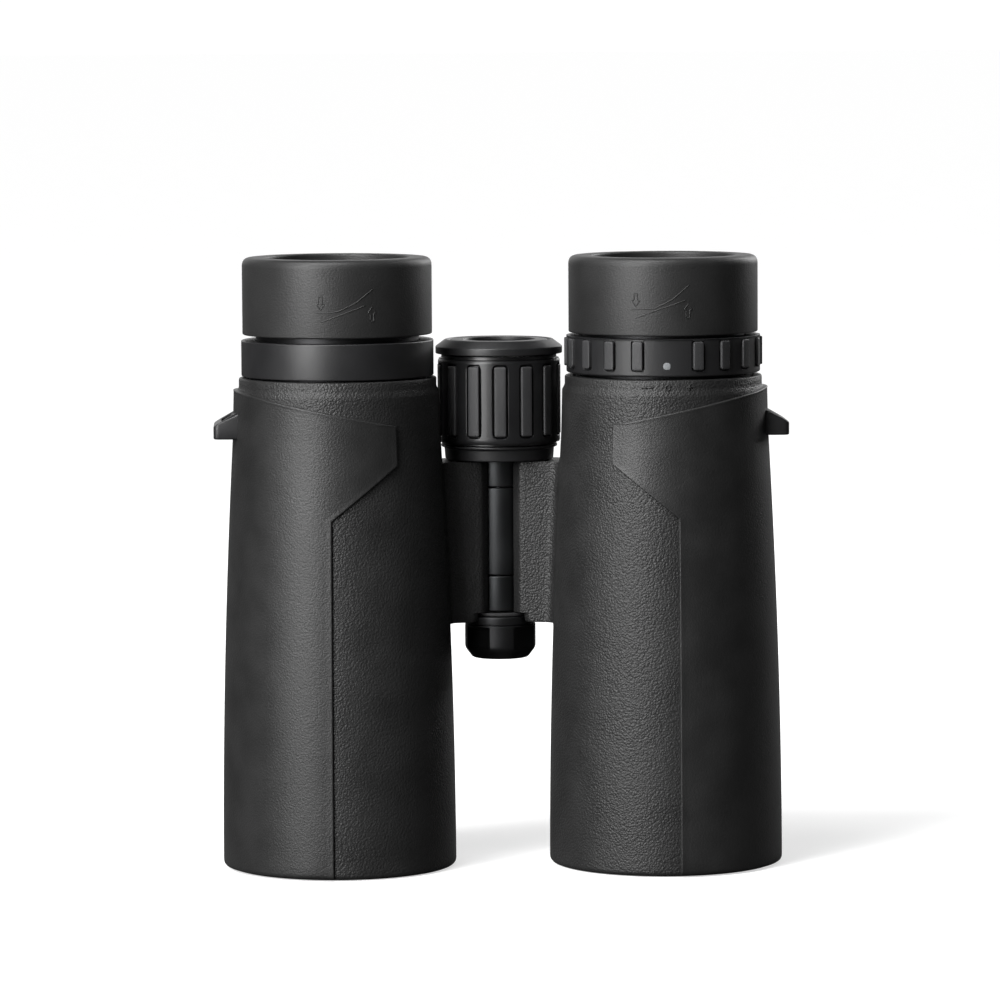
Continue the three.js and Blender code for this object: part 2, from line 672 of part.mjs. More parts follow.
function focusDrive() {
  const bossFoot = webTop + stackGap;
  const bodyFoot = bossFoot + wheelBossHeight;
  const bodyTop = bodyFoot + wheelHeight;
  const ringFoot = bodyTop + capRingGroove;
  const ringTop = ringFoot + capRingHeight;
  const shellInner = wheelRadius - wheelShell;
  const gripOuter = shellInner - fit;
  const gripInner = gripOuter - wheelGrip;
  const hubRadius = gripInner - fit;
  const flange = 0.6;
  const shellFoot = bodyFoot + flange;

  const hub = turned([[0, bossFoot], [wheelBoss, bossFoot], [wheelBoss, bodyFoot],
    [wheelRadius - 0.7, bodyFoot], [wheelRadius - 0.7, bodyFoot + flange - stackGap],
    [hubRadius, bodyFoot + flange - stackGap], [hubRadius, bodyTop], [0, bodyTop]], innerSides)
    .subtract(tube(spindleRadius + pinFit, 0, bossFoot - 1, bodyTop + 1, pinSides));
  let shell = turned([[shellInner, shellFoot], [wheelRadius, shellFoot], [wheelRadius, bodyTop],
    [wheelRadius - 0.7, bodyTop], [wheelRadius - 0.7, ringFoot - stackGap],
    [shellInner - 2, ringFoot - stackGap], [shellInner - 2, bodyTop + stackGap],
    [shellInner, bodyTop + stackGap]], wheelPads * 2);
  const padMiddle = (shellFoot + bodyTop) / 2 + 0.6;
  const padLow = padMiddle - wheelPadHeight / 2;
  const padHigh = padMiddle + wheelPadHeight / 2;
  let grip = tube(gripOuter, gripInner, shellFoot, bodyTop - stackGap, wheelPads * 2);
  const chord = 2 * wheelRadius * Math.sin(rad(wheelPadAngle / 2));
  for (let i = 0; i < wheelPads; i += 1) {
    const angle = 270 + i * 360 / wheelPads;
    const w = chord / 2;
    const opening = box(shellInner - 1, wheelRadius + 1, -w - fit, w + fit, padLow - fit,
      padHigh + fit);
    const pad = box(gripInner + 0.4, wheelRadius + wheelPadRise, -w, w, padLow, padHigh);
    shell = shell.subtract(opening.rotate([0, 0, angle]));
    grip = grip.add(pad.rotate([0, 0, angle]));
  }
  const band = ringFoot + capRingBand;
  const ringRadius = wheelRadius + capRingOverhang;
  const ring = turned([[discRadius + fit, ringFoot], [ringRadius, ringFoot], [ringRadius, band],
    [ringRadius - capRingSlope, ringTop], [discRadius + fit, ringTop]], wheelPads * 2);
  const disc = tube(discRadius, 0, ringFoot, ringTop - discRecess, innerSides);
  const spindleFoot = tubeFoot + hingeShoulder + stackGap;
  const spindle = tube(spindleRadius, 0, spindleFoot, bodyTop, pinSides);
  add(hinge, 'focus_wheel_hub', hub, blackAnodised);
  add(hinge, 'focus_wheel_shell', shell, glossPlastic);
  add(hinge, 'focus_wheel_grip', grip, softRubber);
  add(hinge, 'focus_wheel_ring', ring, mattePlastic);
  add(hinge, 'focus_wheel_disc', disc, mattePlastic);
  add(hinge, 'focus_spindle', spindle, brightSteel);
}

function focusCarriage() {
  const low = focusZ - carriageHeight / 2;
  const high = focusZ + carriageHeight / 2;
  const gap = armThickness / 2 + slideFit;
  const bore = spindleRadius + pinFit;
  const shape = turned([[bore, low], [carriageRadius, low], [carriageRadius, focusZ - gap],
    [carriageGroove, focusZ - gap], [carriageGroove, focusZ + gap], [carriageRadius, focusZ + gap],
    [carriageRadius, high], [bore, high]], pinSides);
  add(hinge, 'focus_carriage', shape, brassFinish);
}

// ---- Assembly -------------------------------------------------------------------------

const hinge = new THREE.Group();
hinge.position.set(0, hingeDepth, 0);
group.add(hinge);

for (const side of [-1, 1]) {
  const name = side < 0 ? 'left' : 'right';
  const barrel = new THREE.Group();
  barrel.position.set(side * half, 0, 0);
  group.add(barrel);
  add(barrel, `${name}_armour`, armour(side), armourRubber);
  add(barrel, `${name}_chassis`, chassis(side), castAlloy);
  add(barrel, `${name}_strap_lug`, strapLug(side), glossPlastic);
  objective(barrel, name);
  focusing(barrel, name, side);
  prisms(barrel, name);
  ocular(barrel, name);
  eyepieceTube(barrel, name);
  eyecup(barrel, name);
  if (side < 0) collar(barrel);
  else dioptre(barrel);
}

hingeBody();
knuckle('lower_knuckle', lowerKnuckleZ, lowerKnuckleZ + lowerKnuckle);
knuckle('upper_knuckle', webTop - upperKnuckle, webTop);
hingePins();
hingeCap();
focusDrive();
focusCarriage();

export default group;
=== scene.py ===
import json
import math

import bmesh
import bpy
import numpy as np
from mathutils import Matrix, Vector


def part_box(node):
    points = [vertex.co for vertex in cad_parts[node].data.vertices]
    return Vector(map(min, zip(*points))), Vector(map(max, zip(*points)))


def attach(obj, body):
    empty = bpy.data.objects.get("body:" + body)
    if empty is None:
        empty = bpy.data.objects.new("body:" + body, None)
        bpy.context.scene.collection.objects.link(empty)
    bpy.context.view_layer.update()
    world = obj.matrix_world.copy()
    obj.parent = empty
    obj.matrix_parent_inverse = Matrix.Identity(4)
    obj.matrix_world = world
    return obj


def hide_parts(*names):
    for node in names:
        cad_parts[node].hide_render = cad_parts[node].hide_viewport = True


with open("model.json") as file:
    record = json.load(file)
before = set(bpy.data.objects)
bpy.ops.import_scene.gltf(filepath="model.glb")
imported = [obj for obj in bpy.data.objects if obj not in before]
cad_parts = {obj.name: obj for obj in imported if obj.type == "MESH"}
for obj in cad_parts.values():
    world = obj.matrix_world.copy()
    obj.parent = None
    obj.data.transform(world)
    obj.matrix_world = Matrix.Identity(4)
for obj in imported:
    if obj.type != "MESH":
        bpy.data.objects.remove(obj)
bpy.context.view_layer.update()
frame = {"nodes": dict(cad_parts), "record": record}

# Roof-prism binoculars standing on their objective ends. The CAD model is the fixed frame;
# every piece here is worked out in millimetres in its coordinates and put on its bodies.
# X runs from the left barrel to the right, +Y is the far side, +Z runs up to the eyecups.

MM = 0.001


# ---- Places and sizes taken from the frame --------------------------------------------

def corners(node):
    """Lowest and highest corner of a CAD node, in millimetres."""
    low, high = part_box(node)
    return np.array(low) / MM, np.array(high) / MM


def middle(node):
    """Middle of a CAD node's box, in millimetres."""
    low, high = corners(node)
    return (low + high) / 2


def radius_x(node):
    """Radius of a round CAD node: half its width along X."""
    low, high = corners(node)
    return (high[0] - low[0]) / 2


def radius_y(node):
    """Radius of a round CAD node with flats or pads on it: half its depth along Y."""
    low, high = corners(node)
    return (high[1] - low[1]) / 2


def foot(node):
    """Height of a CAD node's lowest point."""
    return corners(node)[0][2]


def top(node):
    """Height of a CAD node's highest point."""
    return corners(node)[1][2]


SIDES = {"left": -1, "right": 1}
AXIS = {name: middle(f"{name}_eyecup_rubber")[:2] for name in SIDES}
HINGE = middle("hinge_cap")[:2]

BODY_TOP = top("left_chassis")
BASE_RADIUS = corners("left_armour")[1][1]
BASE_FILLET = 1.2
WAIST_RADIUS = 22.95         # where the barrel's long taper ends
WAIST_Z = BODY_TOP - 12.9
TAPER_POWER = 1.88
SHOULDER_RADIUS = 22.7       # where the armour steps in under the eyepiece
SHOULDER_Z = BODY_TOP - 3.2
NECK_RADIUS = 22.1
NECK_Z = SHOULDER_Z + 1.2
ARMOUR_WALL = 1.8
LIP_RADIUS = 22.4            # inside of the armour at the objective's mouth
LIP_Z = 2.2
WEB_TOP = top("upper_knuckle")
WEB_FOOT = foot("hinge_cap") + 8.6
POCKET_TOP = foot("lower_knuckle")


def barrel_radius(z):
    """Radius of the armour at height z: base - (base - waist)(z / waist height)^1.88 up to the
    waist, then straight to the shoulder."""
    taper = BASE_RADIUS - (BASE_RADIUS - WAIST_RADIUS) * np.clip(z / WAIST_Z, 0, 1) ** TAPER_POWER
    rise = np.clip((z - WAIST_Z) / (SHOULDER_Z - WAIST_Z), 0, 1)
    return taper - (WAIST_RADIUS - SHOULDER_RADIUS) * rise


def neck_radius(z):
    """Radius of the armour's step between its shoulder and its neck: a straight cone."""
    return np.interp(z, [SHOULDER_Z, NECK_Z], [SHOULDER_RADIUS, NECK_RADIUS])


# ---- Making meshes ----------------------------------------------------------------------

def grid(points, wrap_rows=False, wrap_columns=True):
    """Quads between neighbouring rows and columns of a rows x columns x 3 array of points. The
    last row or column is tied to the first where it wraps."""
    rows, columns = points.shape[:2]
    r = np.arange(rows if wrap_rows else rows - 1)[:, None]
    c = np.arange(columns if wrap_columns else columns - 1)[None, :]
    up, across = (r + 1) % rows, (c + 1) % columns
    quads = [r * columns + c, r * columns + across, up * columns + across, up * columns + c]
    return points.reshape(-1, 3), np.stack(np.broadcast_arrays(*quads), -1).reshape(-1, 4)


def joined(shapes):
    """Several (points, quads) shapes as one."""
    starts = np.cumsum([0] + [len(points) for points, _ in shapes[:-1]])
    points = np.concatenate([points for points, _ in shapes])
    return points, np.concatenate([quads + start for start, (_, quads) in zip(starts, shapes)])


def piece(name, shape, material, body, stands_for=(), sharp=32):
    """Puts a shape in a mesh, welds its poles and seams, turns its faces outwards, shades it
    smooth with edges sharper than the given degrees kept, and puts it on its body."""
    points, quads = shape
    mesh = bpy.data.meshes.new(name)
    mesh.from_pydata((points * MM).tolist(), [], quads.tolist())
    work = bmesh.new()
    work.from_mesh(mesh)
    bmesh.ops.remove_doubles(work, verts=work.verts, dist=2e-6)
    bmesh.ops.dissolve_degenerate(work, edges=work.edges, dist=1e-7)
    bmesh.ops.recalc_face_normals(work, faces=work.faces)
    work.to_mesh(mesh)
    work.free()
    mesh.shade_smooth()
    mesh.set_sharp_from_angle(angle=math.radians(sharp))
    mesh.materials.append(material)
    made = bpy.data.objects.new(name, mesh)
    bpy.context.scene.collection.objects.link(made)
    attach(made, body)
    if stands_for:
        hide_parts(*stands_for)
    return made


def rounded(points, steps=6):
    """A closed outline of (x, y, cut) corners. A corner with a cut is replaced by the curve
    (1-t)^2 A + 2t(1-t) P + t^2 B, where A and B lie that far from the corner P on its sides."""
    xy = np.array([p[:2] for p in points], float)
    before, after = np.roll(xy, 1, 0) - xy, np.roll(xy, -1, 0) - xy
    t = np.linspace(0, 1, steps + 1)[:, None]
    line = []
    for p, a, b, corner in zip(xy, before, after, points):
        cut = corner[2] if len(corner) > 2 else 0
        if not cut:
            line.append(p[None])
            continue
        start, stop = p + a / np.hypot(*a) * cut, p + b / np.hypot(*b) * cut
        line.append((1 - t) ** 2 * start + 2 * t * (1 - t) * p + t**2 * stop)
    return np.concatenate(line)


def turned(outline, centre, sides=144):
    """An outline of (radius, z, cut) corners turned about a vertical axis:
    x = cx + r cos a, y = cy + r sin a. It closes on itself, or runs from the axis to the axis."""
    r, z = rounded(outline).T
    a = np.linspace(0, 2 * np.pi, sides, endpoint=False)
    r, z, a = r[:, None], z[:, None], a[None, :]
    points = np.stack([centre[0] + r * np.cos(a), centre[1] + r * np.sin(a), z + 0 * a], -1)
    return grid(points, wrap_rows=bool(r[0, 0] > 0 or r[-1, 0] > 0))


def ring(inner, outer, z0, z1, cut=0.15):
    """Corners of a plain ring's section, with its four edges eased."""
    return [(inner, z0, cut), (outer, z0, cut), (outer, z1, cut), (inner, z1, cut)]


def wrapped(s, z, height, radius, angle, centre):
    """Points wrapped on a cylinder: x = cx + (R + h) sin a, y = cy - (R + h) cos a, where a is the
    given angle, in degrees from the front (-Y) towards +X, plus s / R, and h is the height."""
    a = np.radians(angle) + s / radius
    r = radius + height
    return np.stack(np.broadcast_arrays(
        centre[0] + r * np.sin(a), centre[1] - r * np.cos(a), z), -1)


def pad(half_width, z0, z1, corner, low, high, ease, radius, angle, centre):
    """One raised pad on a cylinder: rounded rectangles stacked from its hidden underside out to
    its face, the last ones drawn in by ease (1 - cos t) as they rise by ease sin t."""
    t = np.linspace(0, np.pi / 2, 5)
    insets = np.concatenate([[half_width, 0], ease * (1 - np.cos(t)), [half_width * 0.6, half_width]])
    heights = np.concatenate([[low, low], high - ease * (1 - np.sin(t)), [high, high]])
    w, h, middle_z = half_width, (z1 - z0) / 2, (z0 + z1) / 2
    c = min(corner, w, h)
    outline = rounded([(-w, -h, c), (w, -h, c), (w, h, c), (-w, h, c)], 5)
    rows = []
    for inset, height in zip(insets, heights):
        limit = np.maximum(np.array([w, h]) - inset, 0)
        s, up = np.clip(outline, -limit, limit).T
        rows.append(wrapped(s, middle_z + up, height, radius, angle, centre))
    return grid(np.stack(rows))


# ---- Materials --------------------------------------------------------------------------

def linear(colour):
    """An sRGB hex colour as linear red, green, blue and alpha."""
    part = np.array([int(colour[i:i + 2], 16) for i in (1, 3, 5)]) / 255
    value = np.where(part <= 0.04045, part / 12.92, ((part + 0.055) / 1.055) ** 2.4)
    return (*value.tolist(), 1.0)


def node(tree, kind, settings=None, sockets=None):
    """Adds a node, sets what it is told to and links the sockets that are given another's output."""
    made = tree.nodes.new(kind)
    for key, value in (settings or {}).items():
        setattr(made, key, value)
    for key, value in (sockets or {}).items():
        if isinstance(value, bpy.types.NodeSocket):
            tree.links.new(value, made.inputs[key])
        else:
            made.inputs[key].default_value = value
    return made


def per_metre(size_mm):
    """Scale of a texture whose cells are that many millimetres across."""
    return 1000 / size_mm


def surface(name, shader_sockets):
    """A new material with one principled shader; returns it with its tree, shader and the
    piece's own coordinates."""
    made = bpy.data.materials.new(name)
    made.use_nodes = True
    tree = made.node_tree
    tree.nodes.clear()
    shader = node(tree, "ShaderNodeBsdfPrincipled", sockets=shader_sockets)
    node(tree, "ShaderNodeOutputMaterial", sockets={"Surface": shader.outputs[0]})
    place = node(tree, "ShaderNodeTexCoord").outputs["Object"]
    return made, tree, shader, place


def tinted(tree, fac, low, high, start=0.35, stop=0.65):
    """Colour that goes from low to high as fac goes from start to stop."""
    ramp = node(tree, "ShaderNodeValToRGB", sockets={"Fac": fac})
    for element, position, colour in zip(ramp.color_ramp.elements, (start, stop), (low, high)):
        element.position = position
        element.color = linear(colour)
    return ramp.outputs["Color"]


def spread(tree, fac, low, high):
    """A number that goes from low to high with fac."""
    return node(tree, "ShaderNodeMapRange", sockets={
        "Value": fac, "From Min": 0.3, "From Max": 0.7, "To Min": low, "To Max": high}).outputs[0]


def grained(name, dark, light, grain_mm, depth_mm, roughness, patch_mm=9.0, leather=False):
    """Moulded rubber or plastic: a grain from the mould in its surface, and colour and gloss
    that drift a little over patches some millimetres across. A leather grain is made of round
    cells, 1 - the distance to the nearest cell's middle, pushed about by a coarser noise."""
    made, tree, shader, place = surface(name, {"IOR": 1.5})
    patch = node(tree, "ShaderNodeTexNoise", sockets={
        "Vector": place, "Scale": per_metre(patch_mm), "Detail": 3.0}).outputs["Fac"]
    tree.links.new(tinted(tree, patch, dark, light), shader.inputs["Base Color"])
    tree.links.new(spread(tree, patch, roughness - 0.025, roughness + 0.025), shader.inputs["Roughness"])
    if leather:
        warp = node(tree, "ShaderNodeTexNoise", sockets={
            "Vector": place, "Scale": per_metre(grain_mm * 2.2), "Detail": 2.0})
        shift = node(tree, "ShaderNodeVectorMath", {"operation": "MULTIPLY_ADD"}, {
            0: warp.outputs["Color"], 1: (grain_mm * MM * 0.5,) * 3, 2: place})
        cells = node(tree, "ShaderNodeTexVoronoi", {"feature": "SMOOTH_F1"}, {
            "Vector": shift.outputs[0], "Scale": per_metre(grain_mm), "Smoothness": 0.35})
        height = node(tree, "ShaderNodeMath", {"operation": "SUBTRACT"}, {
            0: 1.0, 1: cells.outputs["Distance"]}).outputs[0]
    else:
        height = node(tree, "ShaderNodeTexNoise", sockets={
            "Vector": place, "Scale": per_metre(grain_mm), "Detail": 2.0}).outputs["Fac"]
    bump = node(tree, "ShaderNodeBump", sockets={
        "Height": height, "Distance": depth_mm * MM, "Strength": 1.0})
    tree.links.new(bump.outputs[0], shader.inputs["Normal"])
    return made


def turned_metal(name, dark, light, roughness):
    """Metal finished on a lathe: fine rings round the axis from the tool, and a colour that
    drifts a little, as anodising does."""
    patch_mm, groove_mm, depth_mm = 12.0, 0.22, 0.002
    made, tree, shader, place = surface(name, {"Metallic": 1.0})
    patch = node(tree, "ShaderNodeTexNoise", sockets={
        "Vector": place, "Scale": per_metre(patch_mm), "Detail": 2.0}).outputs["Fac"]
    tree.links.new(tinted(tree, patch, dark, light), shader.inputs["Base Color"])
    tree.links.new(spread(tree, patch, roughness - 0.05, roughness + 0.05), shader.inputs["Roughness"])
    stretch = node(tree, "ShaderNodeMapping", sockets={"Vector": place, "Scale": (0.04, 0.04, 1.0)})
    lines = node(tree, "ShaderNodeTexNoise", sockets={
        "Vector": stretch.outputs[0], "Scale": per_metre(groove_mm), "Detail": 1.0}).outputs["Fac"]
    bump = node(tree, "ShaderNodeBump", sockets={
        "Height": lines, "Distance": depth_mm * MM, "Strength": 1.0})
    tree.links.new(bump.outputs[0], shader.inputs["Normal"])
    return made


def glass(name, tint, ior, film_nm):
    """Polished optical glass. The coating is a film some hundreds of nanometres thick, which
    tints the reflection; the faint smear of handling is in the roughness."""
    roughness, smear_mm = 0.02, 7.0
    made, tree, shader, place = surface(name, {
        "Base Color": linear(tint), "IOR": ior, "Transmission Weight": 1.0,
        "Thin Film Thickness": film_nm, "Thin Film IOR": 1.38})
    smear = node(tree, "ShaderNodeTexNoise", sockets={
        "Vector": place, "Scale": per_metre(smear_mm), "Detail": 3.0}).outputs["Fac"]
    tree.links.new(spread(tree, smear, roughness, roughness + 0.04), shader.inputs["Roughness"])
    return made


# Thermoplastic rubber moulded in a leather-grained tool: a dull black with many small glints.
# This grain and the next two are drawn a little coarser than they measure, so that they show.
ARMOUR = grained("leather_grain_moulded_rubber", "#161616", "#1c1c1c", 0.46, 0.115, 0.5, leather=True)
# The same rubber from a spark-eroded part of the tool: nearly smooth, with a soft broad sheen.
PANEL = grained("fine_grain_moulded_rubber", "#161616", "#1d1d1d", 0.42, 0.042, 0.47, leather=True)
# Soft rubber of the eyecups: even and silky, with broad faint patches as handling leaves them.
EYECUP = grained("soft_touch_moulded_rubber", "#191919", "#1f1f1f", 0.4, 0.03, 0.5,
                 patch_mm=14.0, leather=True)
# Glass-filled nylon with a satin tool finish: an even sheen with a very fine tooth.
NYLON = grained("satin_moulded_nylon", "#131314", "#181819", 0.3, 0.012, 0.43)
# Polished ABS: clean bright reflections, slightly uneven as mouldings are.
ABS = grained("polished_moulded_abs", "#0f0f10", "#141415", 2.5, 0.006, 0.33)
# Rubber of the grip pads: matt, finely grained.
GRIP = grained("matt_grip_rubber", "#262627", "#2d2d2e", 0.42, 0.06, 0.55)
# Black anodised aluminium: dark, with turning marks that draw the highlight out.
ANODISED = turned_metal("black_anodised_turned_aluminium", "#343435", "#3c3c3d", 0.46)
# Grey anodised aluminium of the hinge, satin and a little lighter.
ALLOY = turned_metal("grey_anodised_turned_aluminium", "#3a3b3c", "#434445", 0.45)
# Ground steel of the pins and the spindle: bright, with fine rings from the wheel.
STEEL = turned_metal("ground_steel", "#8d8f93", "#9da0a4", 0.25)
# Brass of the nut and the socket, chemically blackened: brown-black and uneven in tone.
BRASS = turned_metal("blackened_turned_brass", "#262320", "#37312a", 0.38)
# Black lacquer on cast magnesium: dull, slightly pebbled by the casting.
CAST = grained("black_lacquered_magnesium_casting", "#1d1e20", "#26272a", 0.8, 0.03, 0.5)
# Crown and eye lenses: polished and coated, so that what they reflect is dim and tinted.
COATED = glass("coated_optical_glass", "#e4efe6", 1.52, 310.0)
# Inner lenses and prisms, polished and uncoated to the eye.
CLEAR = glass("polished_optical_glass", "#e8efea", 1.57, 0.0)
# Grey-white paint of the index dot: dull, with the faint tooth of a printed spot.
PAINT = grained("grey_white_marking_paint", "#66686a", "#737577", 0.2, 0.01, 0.5, patch_mm=1.0)


# ---- Armour ---------------------------------------------------------------------------

FRONT_EDGE = (8.5, 28.8)     # radius and angle of the bridge armour's edges round the hinge
BACK_EDGE = (8.4, 172.0)
BORE = 6.0                   # armour's clearance round the knuckles
POCKET = 8.5                 # and round the cap
POCKET_WALL = 1.4
WEB_ROOT = 16.9              # from the hinge to where the bridge's sides point
WEB_FRONT = 5.0              # half thickness there, towards the front and the back
WEB_BACK = 6.8
ROOT_FILLET = 2.6
EDGE_CUT = 0.55
HOLLOW = 1.2                 # hollow that the barrel rises from into the bridge's ends
EDGE_EASE = 1.3              # rounding of the bridge's upper and lower ends


def line_to_barrel(start, toward, radius, rho, hinge):
    """One long side of the bridge for each row: a straight line from the point at distance rho
    from the hinge, then a hollow fillet that meets the barrel's circle. The fillet's centre is
    radius + f from the barrel's axis and h + f from it square to the line, h being the line's
    distance from the axis."""
    d = (toward - start) / np.hypot(*(toward - start))
    q = start - d * (start @ d)
    h = np.hypot(*q)
    m = q / h
    f = ROOT_FILLET
    centre = m * (h + f) - d * np.sqrt((radius + f) ** 2 - (h + f) ** 2)[:, None]
    out = centre / np.hypot(*centre.T)[:, None]
    a0 = np.arctan2(-m[1], -m[0])
    a1 = np.arctan2(-out[:, 1], -out[:, 0])
    turn = (a1 - a0 + np.pi) % (2 * np.pi) - np.pi
    a = a0 + turn[:, None] * np.linspace(0, 1, 8)[None, :]
    fillet = centre[:, None] + f * np.stack([np.cos(a), np.sin(a)], -1)
    away = start - hinge
    b = away @ d
    slide = -b + np.sqrt(b * b + rho**2 - away @ away)
    edge = start + slide[:, None] * d
    t = np.linspace(0, 1, 11)[None, 1:-1, None]
    eased = edge + EDGE_CUT * d
    straight = eased[:, None] + (fillet[:, :1] - eased[:, None]) * t
    return edge, eased, straight, fillet


def bent(a, p, b, steps=5):
    """The curve (1-t)^2 a + 2t(1-t) p + t^2 b for each row."""
    t = np.linspace(0, 1, steps)[None, :, None]
    return (1 - t) ** 2 * a[:, None] + 2 * t * (1 - t) * p[:, None] + t**2 * b[:, None]


def armour_rows():
    """Height, barrel radius, how far the bridge stands out (0 to 1) and the hinge bore of each
    row, from the inside of the lip round the foot, up the outside, over the top and down inside.
    Every rounding is a quarter turn q: one measure goes by sin q and the other by 1 - cos q."""
    q = np.linspace(0, np.pi / 2, 7)
    rise, fall = np.sin(q), 1 - np.cos(q)
    thin = 0.06
    blocks = []

    def block(z, r=None, e=0.0, bore=BORE):
        """Adds rows at the heights z. Without a radius they take the barrel's own."""
        z = np.atleast_1d(np.asarray(z, float))
        r = barrel_radius(z) if r is None else r
        blocks.append(np.stack(np.broadcast_arrays(z, r, e, bore), -1))

    block([LIP_Z, 0.3, 0.0], [LIP_RADIUS, LIP_RADIUS, LIP_RADIUS + 0.3])
    block(BASE_FILLET * fall, BASE_RADIUS - BASE_FILLET * (1 - rise))
    block(np.linspace(2.0, WEB_FOOT - HOLLOW - 0.5, 26))
    block(WEB_FOOT - HOLLOW * (1 - rise), e=thin * fall, bore=POCKET)
    block(np.full(5, WEB_FOOT), e=np.linspace(0.2, 0.92, 5), bore=POCKET)
    block(WEB_FOOT + EDGE_EASE * fall, e=1 - thin * (1 - rise), bore=POCKET)
    block([POCKET_TOP - 0.05], e=1.0, bore=POCKET)
    block([POCKET_TOP], e=1.0)
    block(np.linspace(POCKET_TOP + 0.6, WEB_TOP - EDGE_EASE - 0.3, 22), e=1.0)
    block(WEB_TOP - EDGE_EASE * (1 - rise), e=1 - thin * fall)
    block(np.full(5, WEB_TOP), e=np.linspace(0.92, 0.2, 5))
    block(WEB_TOP + HOLLOW * fall, e=thin * (1 - rise))
    block(np.linspace(WEB_TOP + HOLLOW + 0.5, SHOULDER_Z - 0.5, 14))
    block([SHOULDER_Z, NECK_Z - 0.2, NECK_Z + 0.2, BODY_TOP - 0.4, BODY_TOP - 0.12, BODY_TOP],
          [SHOULDER_RADIUS, NECK_RADIUS + 0.06, NECK_RADIUS, NECK_RADIUS, NECK_RADIUS - 0.12,
           NECK_RADIUS - 0.4])
    block([BODY_TOP, BODY_TOP - 0.3], [NECK_RADIUS - ARMOUR_WALL + 0.2, NECK_RADIUS - ARMOUR_WALL])
    inside = np.linspace(SHOULDER_Z - 0.5, LIP_Z, 14)
    block(inside, barrel_radius(inside) - ARMOUR_WALL)
    return np.concatenate(blocks)


def armour(name, side):
    """The rubber over one barrel and its half of the bridge. Each row is one closed outline:
    the barrel's arc, a hollow fillet, one side of the bridge, its edge, the hollow round the
    hinge, and back. Where a row has no bridge the outline lies on the barrel's circle."""
    z, radius, extent, bore = armour_rows().T
    half, depth = abs(AXIS[name][0]), HINGE[1]
    hinge = np.array([-half, depth])
    arm = np.hypot(half, depth)
    along, back = np.array([half, -depth]) / arm, np.array([depth, half]) / arm

    def around(edge):
        """Place of an edge given by its radius and angle round the hinge."""
        r, a = edge[0], np.radians(edge[1])
        return hinge + r * np.array([np.sin(a), -np.cos(a)])

    rho = np.where(bore > BORE, POCKET + POCKET_WALL, 0)
    fp, f_cut, f_line, f_fillet = line_to_barrel(
        around(FRONT_EDGE), hinge + WEB_ROOT * along - WEB_FRONT * back, radius,
        np.maximum(rho, FRONT_EDGE[0]), hinge)
    bp, b_cut, b_line, b_fillet = line_to_barrel(
        around(BACK_EDGE), hinge + WEB_ROOT * along + WEB_BACK * back, radius,
        np.maximum(rho, BACK_EDGE[0]), hinge)

    def toward_hinge(edge, distance):
        """Point at that distance from the hinge, in the direction of the edge."""
        away = edge - hinge
        return hinge + away / np.hypot(*away.T)[:, None] * distance[:, None]

    f_in, b_in = toward_hinge(fp, bore), toward_hinge(bp, bore)
    f_end = fp + (f_in - fp) * 0.55
    b_end = bp + (b_in - bp) * 0.5
    a0 = np.arctan2(b_in[:, 1] - hinge[1], b_in[:, 0] - hinge[0])
    a1 = np.arctan2(f_in[:, 1] - hinge[1], f_in[:, 0] - hinge[0])
    a = a0[:, None] + (a1 - a0)[:, None] * np.linspace(0, 1, 16)[None, :]
    hollow = hinge + bore[:, None, None] * np.stack([np.cos(a), np.sin(a)], -1)

    f_angle = np.arctan2(f_fillet[:, -1, 1], f_fillet[:, -1, 0])
    b_angle = np.arctan2(b_fillet[:, -1, 1], b_fillet[:, -1, 0])
    span = (b_angle - f_angle) % (2 * np.pi)
    arc = f_angle[:, None] + span[:, None] * np.linspace(0, 1, 150)[None, :]
    circle = radius[:, None, None] * np.stack([np.cos(arc), np.sin(arc)], -1)

    bridge = np.concatenate([
        b_fillet[:, ::-1][:, 1:], b_line[:, ::-1], bent(b_cut, bp, b_end), hollow,
        bent(f_end, fp, f_cut), f_line, f_fillet[:, :-1]], 1)
    rest = (2 * np.pi - span)[:, None] * np.linspace(0, 1, bridge.shape[1] + 2)[None, 1:-1]
    flat_arc = b_angle[:, None] + rest
    flat = radius[:, None, None] * np.stack([np.cos(flat_arc), np.sin(flat_arc)], -1)
    web = flat + extent[:, None, None] * (bridge - flat)
    xy = np.concatenate([circle, web], 1)
    x = AXIS[name][0] + side * xy[..., 0]
    points = np.stack([x, xy[..., 1], np.broadcast_to(z[:, None], x.shape)], -1)
    piece(f"{name}_armour_skin", grid(points, wrap_rows=True), ARMOUR, f"{name}_barrel",
          [f"{name}_armour"])


PANEL_RISE = 0.6             # how far the panel stands out of the armour
PANEL_SINK = -0.5            # and where its hidden underside lies
PANEL_ROLL = 0.22            # width over which the face rolls over at its border
PANEL_LIP = 0.1              # share by which the border stands prouder than the face
PANEL_EDGE_ANGLE = 4.0       # front edge of the panel's lower part, from the front, outwards
PANEL_NOSE_ANGLE = -33.0     # and of its upper part, which reaches inwards
PANEL_TOP = (102.7, 0.205)   # height over the barrel's axis, and slope outwards
PANEL_BEND = (80.85, 0.83)   # the same for the slanting edge below the nose, inwards
PANEL_FOOT = 0.25


def panel_angle(z):
    """Angle of the panel's front edge at height z, from the front outwards, in degrees. The
    slanting edges are straight lines seen from the front, so their angle is an arcsine."""
    r = barrel_radius(z)
    bend = -np.degrees(np.arcsin(np.clip((z - PANEL_BEND[0]) / PANEL_BEND[1] / r, -1, 1)))
    low = np.clip(bend, PANEL_NOSE_ANGLE, PANEL_EDGE_ANGLE)
    slope = np.degrees(np.arcsin(np.clip((z - PANEL_TOP[0]) / PANEL_TOP[1] / r, -1, 1)))
    return np.where(z > 95, np.maximum(slope, PANEL_NOSE_ANGLE), low)


